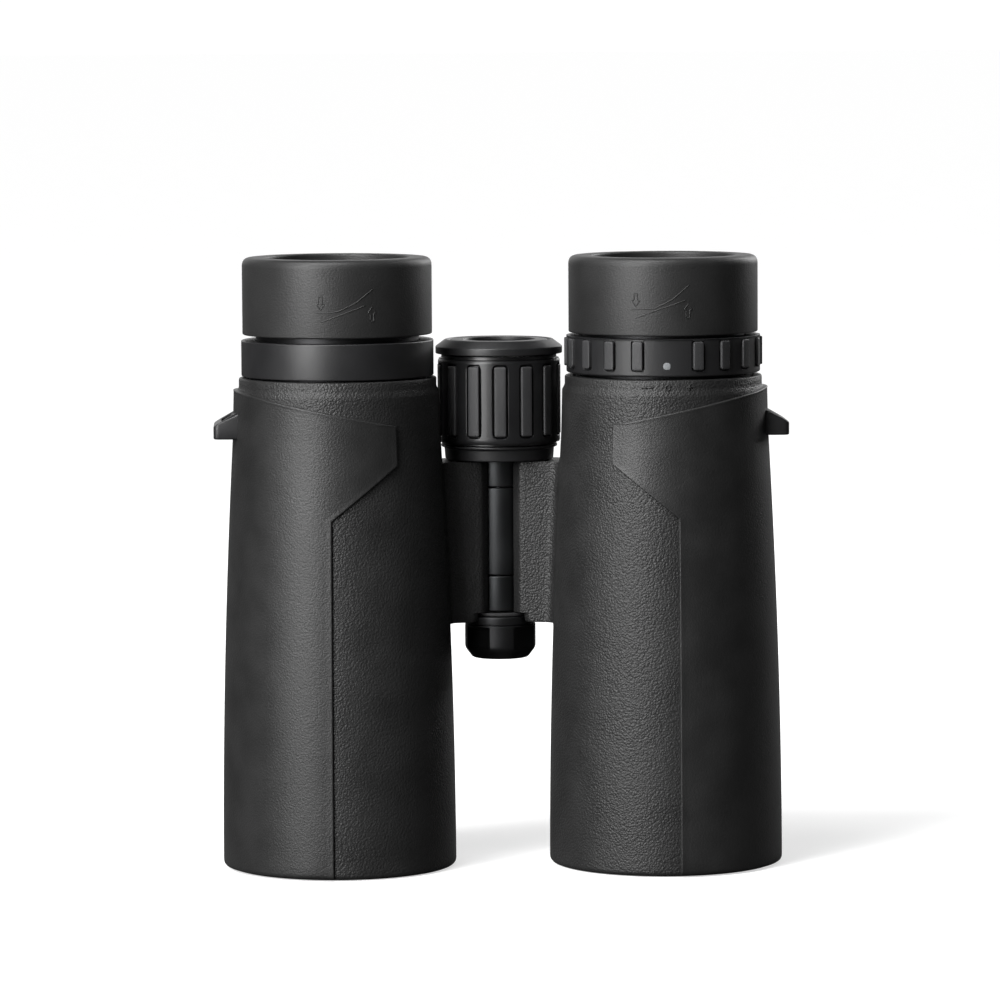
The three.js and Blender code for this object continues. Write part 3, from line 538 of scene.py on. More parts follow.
def side_panel(name, side):
    """The smooth raised panel on the outer side of a barrel: two sheets, one standing out from
    the armour and one under it, that meet all round. At a distance d from its border the face
    stands out by rise (0.3 + 0.7 sqrt(1 - (1 - d/roll)^2)), with a faint lip along the border."""
    end = PANEL_TOP[0] + PANEL_TOP[1] * barrel_radius(SHOULDER_Z)
    rows = np.concatenate([
        PANEL_FOOT + np.array([0, 0.02, 0.12, 0.3, 0.6]), np.linspace(1.4, 78.5, 40),
        np.linspace(79.2, 91.4, 40), np.linspace(92, 99.4, 8), np.linspace(99.8, end, 90)])
    theta = panel_angle(rows)
    border = np.radians(theta) * barrel_radius(rows)
    lean = np.hypot(1, np.gradient(border, rows))[:, None]
    edge = np.array([0, 0.03, 0.1, 0.18, 0.3, 0.5, 0.8])
    width = np.radians(180 - 2 * theta)[:, None] * (barrel_radius(rows) + PANEL_RISE)[:, None]
    u = np.linspace(0, 1, 70)[1:-1]
    inset = np.minimum(edge[None, :] * lean, width * edge[None, :] * 0.4)
    inner = inset[:, -1:] + (width - 2 * inset[:, -1:]) * u[None, :]
    s = np.concatenate([inset, inner, width - inset[:, ::-1]], 1)
    near = np.minimum(s, width - s) / lean
    roll = np.sqrt(1 - (1 - np.clip(near / PANEL_ROLL, 0, 1)) ** 2)
    lip = 1 + PANEL_LIP * np.exp(-((near - 0.35) / 0.3) ** 2)
    height = np.where(near <= 1e-6, PANEL_SINK, PANEL_RISE * (0.3 + 0.7 * roll) * lip)
    height[:1] = PANEL_SINK
    height[1:5] *= np.array([0.4, 0.7, 0.88, 0.97])[:, None]
    height[-1:] = PANEL_SINK
    base = barrel_radius(rows)
    base[:5] = BASE_RADIUS - BASE_FILLET * (1 - np.sqrt(
        1 - (1 - np.clip(rows[:5] / BASE_FILLET, 0, 1)) ** 2))
    r = base[:, None] + PANEL_RISE
    angle = np.radians(theta)[:, None] + s / r

    def sheet(stand):
        """The panel's outline carried over the barrel, standing out by the given height."""
        radius = base[:, None] + stand
        return np.stack([AXIS[name][0] + side * radius * np.sin(angle),
                         AXIS[name][1] - radius * np.cos(angle),
                         np.broadcast_to(rows[:, None], angle.shape)], -1)

    shape = joined([grid(sheet(height), wrap_columns=False),
                    grid(sheet(np.full_like(height, PANEL_SINK))[:, ::-1], wrap_columns=False)])
    piece(f"{name}_side_panel", shape, PANEL, f"{name}_barrel", sharp=40)


LUG_ROOT = 20.6              # the lug starts inside the armour, from the barrel's axis
LUG_BAR = 1.7                # thickness of the bar outside the slot
LUG_SLOT = 2.5               # width of the slot
LUG_SLOT_HALF = 5.0          # half its length
LUG_SLOPE = 0.575            # how steeply its top falls away outwards
LUG_EASE = 0.35


def strap_lug(name, side):
    """The lug that a strap threads through: a rounded plate seen from above, thick at the barrel
    and thin at its end, with an upright slot. Its section is carried round the slot. The top is
    a plane: z = top - slope (distance past the shoulder)."""
    low, high = corners(f"{name}_strap_lug")
    reach = (high[0] if side > 0 else -low[0]) - abs(AXIS[name][0])
    base_z, top_z = low[2], high[2] + 0.2

    def plan(x0, x1, y, cut):
        """A rectangle seen from above whose outer corners are rounded by cut."""
        return rounded([(x0, -y, 0.4), (x1, -y, cut), (x1, y, cut), (x0, y, 0.4)], 12)

    outer = plan(LUG_ROOT, reach, high[1], 1.3)
    inner = plan(reach - LUG_BAR - LUG_SLOT, reach - LUG_BAR, LUG_SLOT_HALF, 0.9)

    def drawn_in(inset):
        """The outer outline moved in by the inset."""
        return outer + np.clip((inner.mean(0) - outer) * 0.2, -inset, inset)

    def roof(p):
        """Height of the sloped top over each point."""
        return np.minimum(top_z - (p[:, 0] - SHOULDER_RADIUS) * LUG_SLOPE, top_z + 0.3)

    t = np.linspace(0, np.pi / 2, 5)
    section = [(drawn_in(LUG_EASE * (1 - np.sin(a))), base_z + LUG_EASE * (1 - np.cos(a))) for a in t]
    for a in t:
        p = drawn_in(LUG_EASE * (1 - np.cos(a)))
        section.append((p, np.maximum(roof(p) - LUG_EASE * (1 - np.sin(a)), base_z + 1.2)))
    for share, drop in ((0.4, 0), (0.8, 0), (1.0, 0.25)):
        p = outer + (inner - outer) * share
        section.append((p, roof(p) - drop))
    section.append((inner, base_z + 0.25))
    rows = [np.stack(np.broadcast_arrays(AXIS[name][0] + side * p[:, 0], p[:, 1], z), -1)
            for p, z in section]
    piece(f"{name}_strap_loop", grid(np.stack(rows), wrap_rows=True), NYLON, f"{name}_barrel",
          [f"{name}_strap_lug"])


# ---- Raised marks -----------------------------------------------------------------------

def ridge(path, radius_at, centre, width, rise, closed=False):
    """A rounded ridge along a path of (angle in degrees, height) points on a barrel: at each
    point a small oval section, width cos a across and rise sin a out, is half in the surface."""
    path = np.array(path, float)
    if closed:
        path = np.concatenate([path, path[:1]])
    step = np.hypot(np.radians(np.diff(path[:, 0])) * radius_at(path[:-1, 1]), np.diff(path[:, 1]))
    length = np.concatenate([[0], np.cumsum(step)])
    t = np.linspace(0, length[-1], max(int(length[-1] / 0.22), 3))
    angle = np.radians(np.interp(t, length, path[:, 0]))
    z = np.interp(t, length, path[:, 1])
    r = radius_at(z)
    ds, dz = np.gradient(angle) * r, np.gradient(z)
    size = np.maximum(np.hypot(ds, dz), 1e-9)
    ds, dz = ds / size, dz / size
    a = np.linspace(0, 2 * np.pi, 8, endpoint=False)[None, :]
    end = np.ones_like(t)
    end[[0, -1]] = 1e-3
    across = width * np.cos(a) * end[:, None]
    out = rise * np.sin(a) * end[:, None]
    spot = angle[:, None] - across * dz[:, None] / r[:, None]
    height = z[:, None] + across * ds[:, None]
    reach = r[:, None] + out
    x, y = centre[0] + reach * np.sin(spot), centre[1] - reach * np.cos(spot)
    return grid(np.stack([x, y, height], -1))


def arrow(angle, low, high, up):
    """Outline of a short block arrow on an eyecup, as (angle, height) points. One millimetre
    round the eyecup is 1/R radians."""
    flip = 1 if up else -1
    tip, tail = (high, low) if up else (low, high)
    mm = math.degrees(1 / radius_y("left_eyecup_rubber"))
    head, shaft, neck = 0.95 * mm, 0.42 * mm, tip - flip * 1.35
    return [(angle - shaft, tail), (angle + shaft, tail), (angle + shaft, neck), (angle + head, neck),
            (angle, tip), (angle - head, neck), (angle - shaft, neck)]


# The twist sign's arrows, each an angle, two heights and whether it points up, and its ramp, as
# points of angle and height. Angles are in degrees from the front, heights in millimetres.
EYECUP_ARROWS = {
    "left": [(-10.4, 125.9, 128.9, False), (20.8, 123.35, 126.5, True)],
    "right": [(-20.4, 126.2, 129.06, False), (11.2, 123.6, 126.7, True)],
}
EYECUP_RAMPS = {
    "left": [[(-13.9, 125.25), (-6.2, 125.26), (0.4, 125.6), (11.0, 127.5), (16.9, 129.2), (21.4, 130.5)],
             [(-10.5, 123.2), (-1.5, 124.4), (8.0, 125.7), (16.8, 126.9)]],
    "right": [[(-23.2, 125.5), (-9.1, 125.7), (1.8, 127.7), (11.9, 130.9)],
              [(-20.7, 123.6), (-8.1, 125.3), (1.0, 126.4), (9.8, 127.5)]],
}


def eyecup_marks(name):
    """The moulded sign for twisting the eyecup out: an arrow down, an arrow up and a ramp."""
    width, rise = 0.13, 0.1

    def side_radius(z):
        """The eyecup's wall is upright, so its radius is the same at every height."""
        return np.full_like(z, radius_y(f"{name}_eyecup_rubber"))

    shapes = [ridge(arrow(*place), side_radius, AXIS[name], width, rise, closed=True)
              for place in EYECUP_ARROWS[name]]
    shapes += [ridge(path, side_radius, AXIS[name], width, rise) for path in EYECUP_RAMPS[name]]
    piece(f"{name}_eyecup_sign", joined(shapes), EYECUP, f"{name}_eyecup", sharp=60)


def dioptre_marks():
    """Minus, ring and plus, moulded in the armour under the dioptre ring. The ring is an oval
    in angle and height that comes out round on the barrel."""
    z, centre = BODY_TOP - 1.6, AXIS["right"]
    width, rise = 0.2, 0.24
    oval = [(-1.2 + 1.5 * math.cos(a), z + 0.6 * math.sin(a))
            for a in np.linspace(0, 2 * math.pi, 17)[:-1]]
    strokes = [[(-16.8, z), (-9.6, z)], [(9.0, z), (13.2, z)], [(11.0, z - 0.85), (11.0, z + 0.85)]]
    shapes = [ridge(path, neck_radius, centre, width, rise) for path in strokes]
    shapes.append(ridge(oval, neck_radius, centre, width, rise, closed=True))
    piece("dioptre_scale", joined(shapes), ARMOUR, "right_barrel", sharp=60)


# ---- Eyepieces --------------------------------------------------------------------------

def eyecup(name):
    """Rubber eyecup: a straight wall with an eased foot and a well rounded top that turns in
    over the sleeve to its mouth."""
    rubber = f"{name}_eyecup_rubber"
    outer, z0, z1 = radius_x(rubber), foot(rubber), top(rubber)
    inner = outer - 0.8
    mouth, under = outer - 5.1, z1 - 4
    outline = [(inner, z0, 0.15), (outer, z0, 0.4), (outer, z1, 1.9), (mouth, z1, 0.6),
               (mouth, under, 0.5), (inner, under, 0.3)]
    piece(f"{name}_eyecup_cover", turned(outline, AXIS[name], 180), EYECUP, f"{name}_eyecup",
          [rubber])
    eyecup_marks(name)


TUBE_GAP = 0.3               # round the eyepiece tubes


def collar():
    """The plain fixed ring under the left eyecup."""
    inner, outer = radius_y("left_eyepiece_tube") + TUBE_GAP, radius_x("left_collar")
    section = ring(inner, outer, foot("left_collar"), top("left_collar"), 0.3)
    piece("left_collar_ring", turned(section, AXIS["left"], 180), NYLON, "left_barrel",
          ["left_collar"])


def stations(edges, period):
    """Places across one period, evenly spaced, with four more on each side of every edge."""
    spacing, fine = 0.5, 0.3
    even = np.arange(-period / 2, period / 2, spacing)
    close = np.concatenate([e + fine * np.array([-1, -0.6, -0.3, -0.1, 0.1, 0.3, 0.6, 1]) for e in edges])
    both = np.sort(np.concatenate([even, close]))
    keep = np.concatenate([[True], np.diff(both) > fine * 0.15])
    return both[keep & (both < period / 2)]


def step(x):
    """Smooth step from 0 to 1: t^2 (3 - 2t)."""
    t = np.clip(x, 0, 1)
    return t * t * (3 - 2 * t)


def recess(s, z, half_width, z0, z1, corner, depth, soft):
    """Depth of a rounded-box recess: d is the distance from the box's outline, and the floor is
    at -depth where d is below 0, coming up over a soft border."""
    dx = np.abs(s) - half_width + corner
    dz = np.abs(z - (z0 + z1) / 2) - (z1 - z0) / 2 + corner
    d = np.hypot(np.maximum(dx, 0), np.maximum(dz, 0)) + np.minimum(np.maximum(dx, dz), 0) - corner
    return -depth * (1 - step((d + soft) / (2 * soft)))


def pocketed_wall(rows, window, corner, depths, soft, radius, start, centre):
    """Outer wall of a ring with a pocket at each of its places, as rows x columns of points. The
    window is the pocket's half width and its two heights, and start is the first place's angle."""
    half, low, high = window
    pitch = 360 / len(depths)
    across = stations([-half, half], math.radians(pitch) * radius)[None, :]
    z = rows[:, None]
    bands = [wrapped(across, z, recess(across, z, half, low, high, corner, depth, soft), radius,
                     start + place * pitch, centre) for place, depth in enumerate(depths)]
    return np.concatenate(bands, 1)


def hoops(wall, profile, centre):
    """The (radius, height) points of a profile carried round in the wall's own columns."""
    a = np.arctan2(wall[0, :, 0] - centre[0], centre[1] - wall[0, :, 1])[None, :]
    r, z = np.array(profile)[..., None].transpose(1, 0, 2)
    return np.stack([centre[0] + r * np.sin(a), centre[1] - r * np.cos(a), z + 0 * a], -1)


DIOPTRE_PADS = 20
DIOPTRE_START = -1.0         # angle of the empty place that holds the dot
DIOPTRE_PAD_HALF = 1.2
DIOPTRE_GAP = 0.3
DIOPTRE_POCKET = 0.55
DIOPTRE_EASE = 0.4


def dioptre():
    """Dioptre ring: a turned ring with a pocket for each rubber pad; the pocket is a little
    larger, so a dark line runs round the pad. One place has a painted dot in place of a pad."""
    radius, z0, z1 = radius_x("dioptre_ring"), foot("dioptre_ring"), top("dioptre_ring")
    inner = radius_y("right_eyepiece_tube") + TUBE_GAP
    pad_low, pad_high = z0 + 1.45, z1 - 0.55
    gap, ease, centre = DIOPTRE_GAP, DIOPTRE_EASE, AXIS["right"]
    rows = np.unique(np.concatenate([
        np.linspace(z0 + 0.5, z1 - 0.5, 14), pad_low - gap + np.linspace(-0.25, 0.5, 8),
        pad_high + gap + np.linspace(-0.5, 0.2, 8)]))
    window = (DIOPTRE_PAD_HALF + gap, pad_low - gap, pad_high + gap)
    depths = [0.0] + [DIOPTRE_POCKET] * (DIOPTRE_PADS - 1)
    wall = pocketed_wall(rows, window, 0.8, depths, 0.1, radius, DIOPTRE_START, centre)
    q = np.linspace(0, np.pi / 2, 5)
    below = [(radius - ease * (1 - math.sin(t)), z0 + ease * (1 - math.cos(t))) for t in q]
    above = [(radius - ease * (1 - math.cos(t)), z1 - ease * (1 - math.sin(t))) for t in q]
    loop = [hoops(wall, [(inner, z0)] + below, centre), wall, hoops(wall, above + [(inner, z1)], centre)]
    piece("dioptre_body", grid(np.concatenate(loop), wrap_rows=True), NYLON, "dioptre_ring",
          ["dioptre_ring"])
    pads = [pad(DIOPTRE_PAD_HALF, pad_low, pad_high, 0.7, -0.9, 0.5, 0.22, radius,
                DIOPTRE_START + place * 360 / DIOPTRE_PADS, centre) for place in range(1, DIOPTRE_PADS)]
    piece("dioptre_pads", joined(pads), GRIP, "dioptre_ring", ["dioptre_grip"])
    dot = pad(0.8, z0 + 1.6, z0 + 3.2, 0.8, -0.3, 0.05, 0.04, radius, DIOPTRE_START - 0.8, centre)
    piece("dioptre_index_dot", dot, PAINT, "dioptre_ring")


def dome(radius, z, bulge, count=9):
    """Corners of a lens face from its rim to the axis: z + bulge (1 - (r/radius)^2)."""
    r = np.linspace(radius, 0, count)
    return [(x, z + bulge * (1 - (x / radius) ** 2)) for x in r]


def lens(name, bulge, body):
    """A coated lens with a ground cylindrical rim between two round faces."""
    radius, z0, z1 = radius_x(name), foot(name) + bulge, top(name) - bulge
    outline = dome(radius, z0, -bulge)[::-1] + dome(radius, z1, bulge)
    axis = AXIS[name.split("_")[0]]
    piece(f"{name}_polished", turned(outline, axis, 96), COATED, body, [name], sharp=60)


def turned_part(name, outline, axis, body, node_name):
    """A turned, black anodised ring or tube that takes the place of one CAD node."""
    piece(name, turned(outline, axis), ANODISED, body, [node_name])


def eyepiece(name):
    """The parts seen down the eyecup, and bare when it is drawn up: the tube, the lens in its
    mount under a sloped ring, and the eyecup's sleeve."""
    axis, barrel = AXIS[name], f"{name}_barrel"
    group = barrel if name == "left" else "right_ocular_group"
    tube = f"{name}_eyepiece_tube"
    radius = radius_x(tube)
    turned_part(f"{name}_eyepiece_barrel", ring(radius - 1.9, radius, foot(tube), top(tube), 0.25),
                axis, barrel, tube)

    cell, retainer = f"{name}_ocular_cell", f"{name}_eye_retainer"
    outer, low, high = radius_x(cell), foot(cell), top(cell)
    seat, mouth, shelf = radius_x(retainer) + 0.3, outer - 3.8, low + 1.2
    outline = [(mouth, low), (outer, low, 0.2), (outer, high, 0.3), (seat, high, 0.3), (seat, shelf),
               (mouth, shelf)]
    turned_part(f"{name}_ocular_mount", outline, axis, group, cell)

    outer, low, high = radius_x(retainer), foot(retainer), top(retainer)
    outline = [(outer - 1.7, low), (outer, low), (outer, high, 0.2), (outer - 1.2, high, 0.3)]
    turned_part(f"{name}_eye_lens_ring", outline, axis, group, retainer)
    lens(f"{name}_eye_lens", 1.4, group)

    sleeve = f"{name}_eyecup_sleeve"
    outer, low, high = radius_x(sleeve), foot(sleeve), top(sleeve)
    wall = 0.8
    inner, mouth = outer - wall, radius_y(f"{name}_eyecup_rubber") - 4.8
    outline = [(inner, low, 0.15), (outer, low, 0.15), (outer, high, 0.2), (mouth, high, 0.2),
               (mouth, high - wall, 0.2), (inner, high - wall, 0.2)]
    turned_part(f"{name}_eyecup_carrier", outline, axis, f"{name}_eyecup", sleeve)


def objective(name):
    """The parts seen from below in the mouth of a barrel: the cell, its ring and the lens."""
    axis, barrel = AXIS[name], f"{name}_barrel"
    cell, retainer = f"{name}_objective_cell", f"{name}_objective_retainer"
    outer, low, high = radius_x(cell), foot(cell), top(cell)
    keep = radius_x(retainer)
    seat, mouth, shelf = keep + 0.3, keep - 1.3, high - 1.6
    outline = [(seat, low, 0.25), (outer, low, 0.2), (outer, high, 0.2), (mouth, high), (mouth, shelf),
               (seat, shelf)]
    turned_part(f"{name}_objective_mount", outline, axis, barrel, cell)
    low, high = foot(retainer), top(retainer)
    outline = [(keep - 1.1, low, 0.3), (keep, low, 0.2), (keep, high), (keep - 1.7, high)]
    turned_part(f"{name}_objective_ring", outline, axis, barrel, retainer)
    lens(f"{name}_objective_crown", 1.6, barrel)


# ---- Hinge ------------------------------------------------------------------------------

KNUCKLE_RADIUS = 5.5
KNUCKLE_BORE = 3.15


def knuckle(name, node_name, body):
    """One knuckle of the hinge: a turned tube with eased ends."""
    section = ring(KNUCKLE_BORE, KNUCKLE_RADIUS, foot(node_name), top(node_name), 0.35)
    piece(name, turned(section, HINGE, 96), ALLOY, body, [node_name])


CAP_SCOOP = 1.0              # depth of the four cuts in the cap's wall
CAP_SCOOP_HALF = 25.0        # half a cut's width, in degrees


def hinge_cap():
    """Screwed cap under the hinge: a cup whose wall has four lands between scooped cuts, a thin
    groove under its upper band, and a sloped lower edge. The wall's radius is the profile's,
    less depth (1 - (angle from the middle of a cut / half its width)^2)^0.8."""
    radius, z0, z1 = radius_y("hinge_cap"), foot("hinge_cap"), top("hinge_cap")
    slope_top, groove_z, groove, bore, roof = z0 + 2.3, z1 - 2.0, radius - 0.35, 5.9, z0 + 1.8
    outline = rounded([
        (0, z0), (radius - 1.75, z0, 0.5), (radius, slope_top, 0.7), (radius, groove_z - 0.12, 0.1),
        (groove, groove_z - 0.06, 0.05), (groove, groove_z + 0.12, 0.05),
        (radius, groove_z + 0.2, 0.1), (radius, z1, 0.35), (bore, z1, 0.2), (bore, roof), (0, roof)])
    wall = [(radius, z) for z in np.linspace(slope_top + 0.9, groove_z - 0.3, 14)]
    split = int(np.argmax(outline[:, 1] > groove_z - 0.25))
    outline = np.concatenate([outline[:split], wall, outline[split:]])
    a = np.linspace(0, 2 * np.pi, 240, endpoint=False)[None, :]
    r, z = outline[:, :1], outline[:, 1:]
    from_middle = np.degrees(a) % 90 - 45
    share = np.clip(1 - (from_middle / CAP_SCOOP_HALF) ** 2, 0, 1) ** 0.8
    fade = step((groove_z - 0.35 - z) / 0.5) * np.clip((z - z0) / 1.2, 0, 1)
    outside = (r > bore + 0.3) & (z < groove_z)
    r = r - CAP_SCOOP * share * fade * outside
    points = np.stack([HINGE[0] + r * np.sin(a), HINGE[1] - r * np.cos(a), z + 0 * a], -1)
    piece("hinge_end_cap", grid(points), ANODISED, "hinge_cap", ["hinge_cap"], sharp=28)
    section = ring(5.7, radius_y("cap_seal"), foot("cap_seal"), top("cap_seal"), 0.2)
    piece("cap_seal_ring", turned(section, HINGE, 96), GRIP, "cap_seal", ["cap_seal"])


# ---- Focus wheel ------------------------------------------------------------------------

WHEEL_PADS = 14
WHEEL_START = -1.0           # angle of the first pad
WHEEL_PAD_HALF = 1.35
WHEEL_GAP = 0.35
WHEEL_WINDOW = 0.9           # depth of the shell's windows
WHEEL_NECK = 0.75            # how far the shell draws in above and below the pads
WHEEL_BOSS = 12.3
SPINDLE_BORE = 1.9


def wheel_shell(body, centre):
    """The wheel's polished shell, with a long window for each pad, and the pads in it."""
    radius, z0 = radius_x("focus_wheel_shell"), foot("focus_wheel_shell")
    z1 = foot("focus_wheel_ring") - 1.1
    pad_low, pad_high = z0 + 2.1, top("focus_wheel_grip") - 1.05
    gap = WHEEL_GAP
    rows = np.unique(np.concatenate([
        np.linspace(z0 + 0.6, z1 - 0.4, 24), pad_low - gap + np.linspace(-0.3, 0.7, 9),
        pad_high + gap + np.linspace(-0.7, 0.3, 9)]))
    window = (WHEEL_PAD_HALF + gap, pad_low - gap, pad_high + gap)
    depths = [WHEEL_WINDOW] * WHEEL_PADS
    wall = pocketed_wall(rows, window, 1.0, depths, 0.12, radius, WHEEL_START, centre)
    neck, bore, z2 = radius - WHEEL_NECK, 10.8, foot("focus_wheel_ring") - 0.3
    below = rounded([(bore, z0), (neck, z0), (neck, z0 + 0.25), (radius, z0 + 0.35, 0.15)], 3)
    above = rounded([(radius, z1, 0.3), (neck, z1 + 0.1, 0.1), (neck, z2), (bore, z2)], 3)[:-1]
    loop = [hoops(wall, below, centre), wall, hoops(wall, above, centre)]
    piece("focus_wheel_body", grid(np.concatenate(loop), wrap_rows=True), ABS, body,
          ["focus_wheel_shell"])
    rise = radius_y("focus_wheel_grip") - radius
    pads = [pad(WHEEL_PAD_HALF, pad_low, pad_high, 0.6, -1.1, rise, 0.3, radius,
                WHEEL_START + place * 360 / WHEEL_PADS, centre) for place in range(WHEEL_PADS)]
    piece("focus_wheel_pads", joined(pads), GRIP, body, ["focus_wheel_grip"])


def wheel_hub(body, centre):
    """The hub inside the shell: a thin boss below, a flange under the shell, and a core."""
    z0, shell_foot = foot("focus_wheel_hub"), foot("focus_wheel_shell") - 0.3
    core, core_top = 10.4, foot("focus_wheel_ring") - 1.3
    flange = radius_x("focus_wheel_shell") - 0.65
    outline = [(SPINDLE_BORE, z0, 0.2), (WHEEL_BOSS - 0.1, z0, 0.3), (WHEEL_BOSS + 0.1, z0 + 2.6, 0.3),
               (flange, z0 + 2.8, 0.2), (flange, shell_foot, 0.1), (core, shell_foot), (core, core_top),
               (SPINDLE_BORE, core_top)]
    piece("focus_wheel_core", turned(outline, centre), NYLON, body,
          ["focus_wheel_hub"])


def wheel_top(body, centre):
    """The ring over the shell, with a bevel and a fine groove, and the sunk disc in it."""
    outer, z0, z1 = radius_x("focus_wheel_ring"), foot("focus_wheel_ring"), top("focus_wheel_ring")
    disc = radius_y("focus_wheel_disc")
    inner, band, groove = disc + 0.3, z0 + 1.6, z1 - 0.55
    outline = [(inner, z0), (outer, z0, 0.25), (outer, band, 0.2), (outer - 2.15, z1, 0.2),
               (outer - 2.5, z1, 0.1), (outer - 2.7, groove, 0.1), (outer - 3.2, groove, 0.1),
               (outer - 3.4, z1 - 0.05, 0.15), (disc + 0.5, z1 - 0.05, 0.15), (inner, z1 - 0.6, 0.1)]
    piece("focus_wheel_top_ring", turned(outline, centre), NYLON, body,
          ["focus_wheel_ring"])
    z0, z1 = foot("focus_wheel_disc"), top("focus_wheel_disc")
    sunk = z1 - 0.3
    outline = [(0, z0), (disc, z0, 0.2), (disc, z1, 0.3), (disc - 1.0, z1, 0.3), (disc - 1.3, sunk, 0.2),
               (0, sunk)]
    piece("focus_wheel_centre", turned(outline, centre), GRIP, body,
          ["focus_wheel_disc"])


# ---- Everything made ----------------------------------------------------------------------

for name, side in SIDES.items():
    armour(name, side)
    side_panel(name, side)
    strap_lug(name, side)
    eyecup(name)
    eyepiece(name)
    objective(name)
collar()
dioptre()
dioptre_marks()
knuckle("hinge_middle_knuckle", "hinge_tube", "left_barrel")
knuckle("hinge_upper_knuckle", "upper_knuckle", "right_barrel")
knuckle("hinge_lower_knuckle", "lower_knuckle", "right_barrel")
hinge_cap()
for wheel_part in (wheel_shell, wheel_hub, wheel_top):
    wheel_part("focus_wheel", HINGE)

# The nodes that stay as the CAD model has them, inside or behind the rest.
FINISHES = {
    "cast_alloy": CAST, "black_anodised": ANODISED, "clear_glass": CLEAR, "coated_glass": COATED,
    "satin_alloy": ALLOY, "steel": STEEL, "brass": BRASS, "soft_rubber": GRIP,
    "matte_plastic": NYLON, "gloss_plastic": ABS, "armour_rubber": ARMOUR,
}
for part in frame["record"]["subparts"]:
    kept = frame["nodes"][part["node"]].data.materials
    kept.clear()
    kept.append(FINISHES[part["material_slot"]])


# ---- Floor, light and camera ------------------------------------------------------------

def floor():
    """A wide plain floor, a hair under the feet so that the two faces don't share a plane. Its
    glow lifts the shadow for the eye alone, and it throws little light back at the object."""
    half, z = 30.0, -0.15 * MM
    corner = [(-half, -half, z), (half, -half, z), (half, half, z), (-half, half, z)]
    mesh = bpy.data.meshes.new("floor")
    mesh.from_pydata(corner, [], [(0, 1, 2, 3)])
    made = bpy.data.objects.new("floor", mesh)
    bpy.context.scene.collection.objects.link(made)
    paint, tree, shader, place = surface("pale_matt_board", {
        "Roughness": 0.8, "Specular IOR Level": 0.1, "Emission Color": (1, 1, 1, 1)})
    shade = node(tree, "ShaderNodeTexNoise", sockets={"Vector": place, "Scale": 40.0}).outputs["Fac"]
    seen = node(tree, "ShaderNodeLightPath").outputs["Is Camera Ray"]
    mixed = node(tree, "ShaderNodeMix", {"data_type": "RGBA"}, {
        0: seen, 6: linear("#404040"), 7: tinted(tree, shade, "#adadad", "#b0b0b0")})
    tree.links.new(mixed.outputs[2], shader.inputs["Base Color"])
    glow = node(tree, "ShaderNodeMath", {"operation": "MULTIPLY"}, {0: seen, 1: 0.6})
    tree.links.new(glow.outputs[0], shader.inputs["Emission Strength"])
    mesh.materials.append(paint)


def aimed(place, target):
    """A turn and place for a lamp or camera that looks from one point to another."""
    place, target = np.array(place, float), np.array(target, float)
    ahead = (target - place) / np.linalg.norm(target - place)
    right = np.cross(ahead, (0, 0, 1))
    right /= np.linalg.norm(right)
    up = np.cross(right, ahead)
    turn = np.eye(4)
    turn[:3, 0], turn[:3, 1], turn[:3, 2], turn[:3, 3] = right, up, -ahead, place
    return Matrix(turn.tolist())


def soft_box(name, place, target, width, height, power):
    """A rectangular soft light that the camera doesn't see, in metres and watts."""
    lamp = bpy.data.lights.new(name, "AREA")
    lamp.shape = "RECTANGLE"
    lamp.size, lamp.size_y = width, height
    lamp.energy = power
    made = bpy.data.objects.new(name, lamp)
    made.matrix_world = aimed(place, target)
    made.visible_camera = False
    bpy.context.scene.collection.objects.link(made)


def sun(name, azimuth, elevation, strength, angle):
    """A broad overhead light that shiny surfaces don't mirror. Azimuth is from the front (-Y)
    towards +X, and the light comes from (sin a cos e, -cos a cos e, sin e)."""
    lamp = bpy.data.lights.new(name, "SUN")
    lamp.energy, lamp.angle = strength, math.radians(angle)
    made = bpy.data.objects.new(name, lamp)
    a, e = math.radians(azimuth), math.radians(elevation)
    place = (math.sin(a) * math.cos(e), -math.cos(a) * math.cos(e), math.sin(e))
    made.matrix_world = aimed(place, (0, 0, 0))
    made.visible_glossy = False
    bpy.context.scene.collection.objects.link(made)


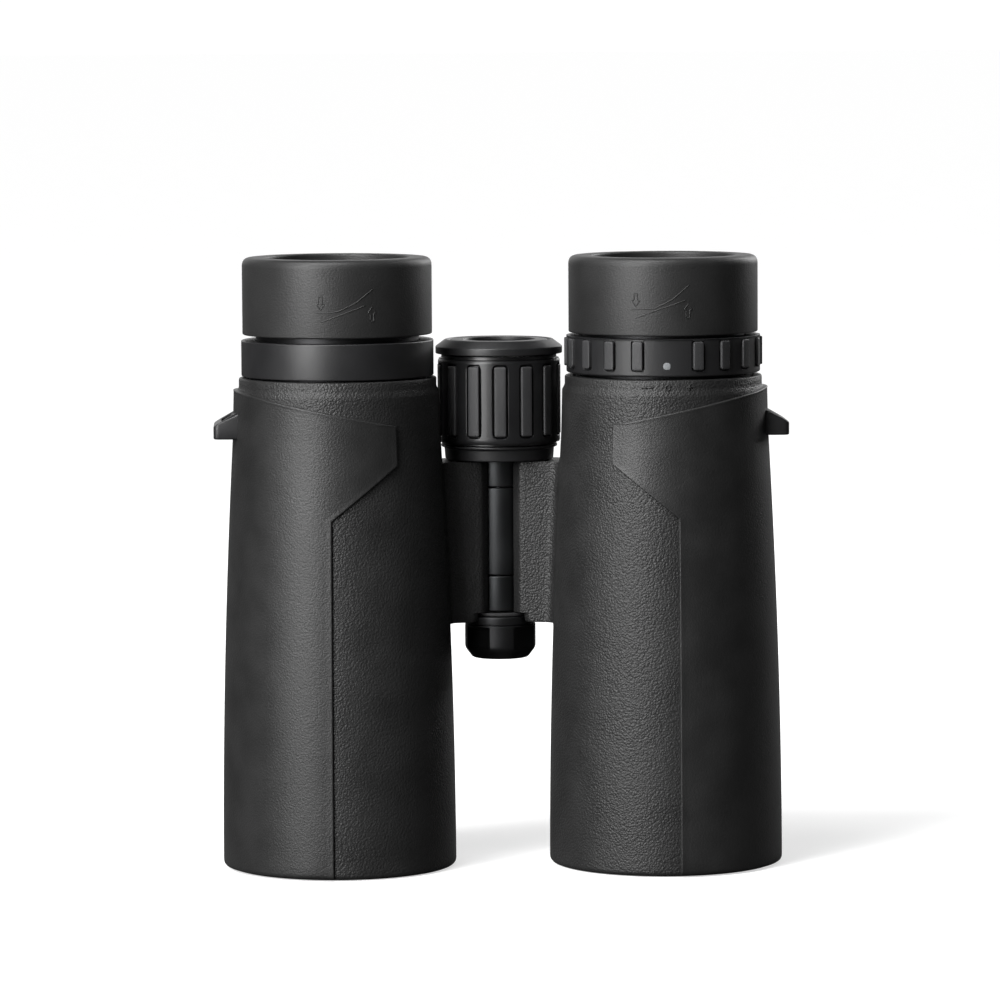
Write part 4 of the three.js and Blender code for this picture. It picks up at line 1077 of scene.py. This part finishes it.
def studio():
    """White room seen by the camera, dim for the object; a tall soft box to the left front, one
    above, one behind on the right, a wide card behind for the rims, and a broad light from
    above for the floor."""
    world = bpy.data.worlds.new("studio")
    world.use_nodes = True
    tree = world.node_tree
    tree.nodes.clear()
    ray = node(tree, "ShaderNodeLightPath").outputs["Is Camera Ray"]
    dim = node(tree, "ShaderNodeBackground", sockets={"Color": (1, 1, 1, 1), "Strength": 0.045})
    white = node(tree, "ShaderNodeBackground", sockets={"Color": (1, 1, 1, 1), "Strength": 1.05})
    both = node(tree, "ShaderNodeMixShader", sockets={0: ray, 1: dim.outputs[0], 2: white.outputs[0]})
    node(tree, "ShaderNodeOutputWorld", sockets={"Surface": both.outputs[0]})
    scene = bpy.context.scene
    scene.world = world
    scene.view_settings.view_transform = "Standard"
    aim = (0, 0, 0.07)
    soft_box("key_soft_box", (-0.60, -0.74, 0.34), aim, 0.48, 0.9, 15)
    soft_box("top_soft_box", (-0.3, -0.3, 0.95), aim, 0.5, 0.5, 9)
    soft_box("back_card", (0, 1.05, 0.42), aim, 1.5, 0.6, 3)
    soft_box("back_soft_box", (0.7, 0.7, 0.5), aim, 0.5, 0.6, 5)
    sun("overhead", -48, 47, 4.0, 20)


def camera():
    """A long lens, a little above the object and looking slightly down. It looks along
    (sin yaw cos pitch, cos yaw cos pitch, -sin pitch) and rolls about that line."""
    place = np.array([-47.40, -1216.70, 189.43]) * MM
    focal_length, film_width = 196.02, 36.0
    yaw, pitch, roll = 0.0387, 0.0881, -0.0056
    forward = np.array([math.sin(yaw) * math.cos(pitch), math.cos(yaw) * math.cos(pitch), -math.sin(pitch)])
    right0 = np.array([math.cos(yaw), -math.sin(yaw), 0])
    up0 = np.cross(right0, forward)
    right = math.cos(roll) * right0 + math.sin(roll) * up0
    up = -math.sin(roll) * right0 + math.cos(roll) * up0
    turn = np.eye(4)
    turn[:3, 0], turn[:3, 1], turn[:3, 2] = right, up, -forward
    turn[:3, 3] = place
    lens_data = bpy.data.cameras.new("camera")
    lens_data.lens, lens_data.sensor_width = focal_length, film_width
    made = bpy.data.objects.new("camera", lens_data)
    made.matrix_world = Matrix(turn.tolist())
    bpy.context.scene.collection.objects.link(made)
    bpy.context.scene.camera = made


floor()
studio()
camera()
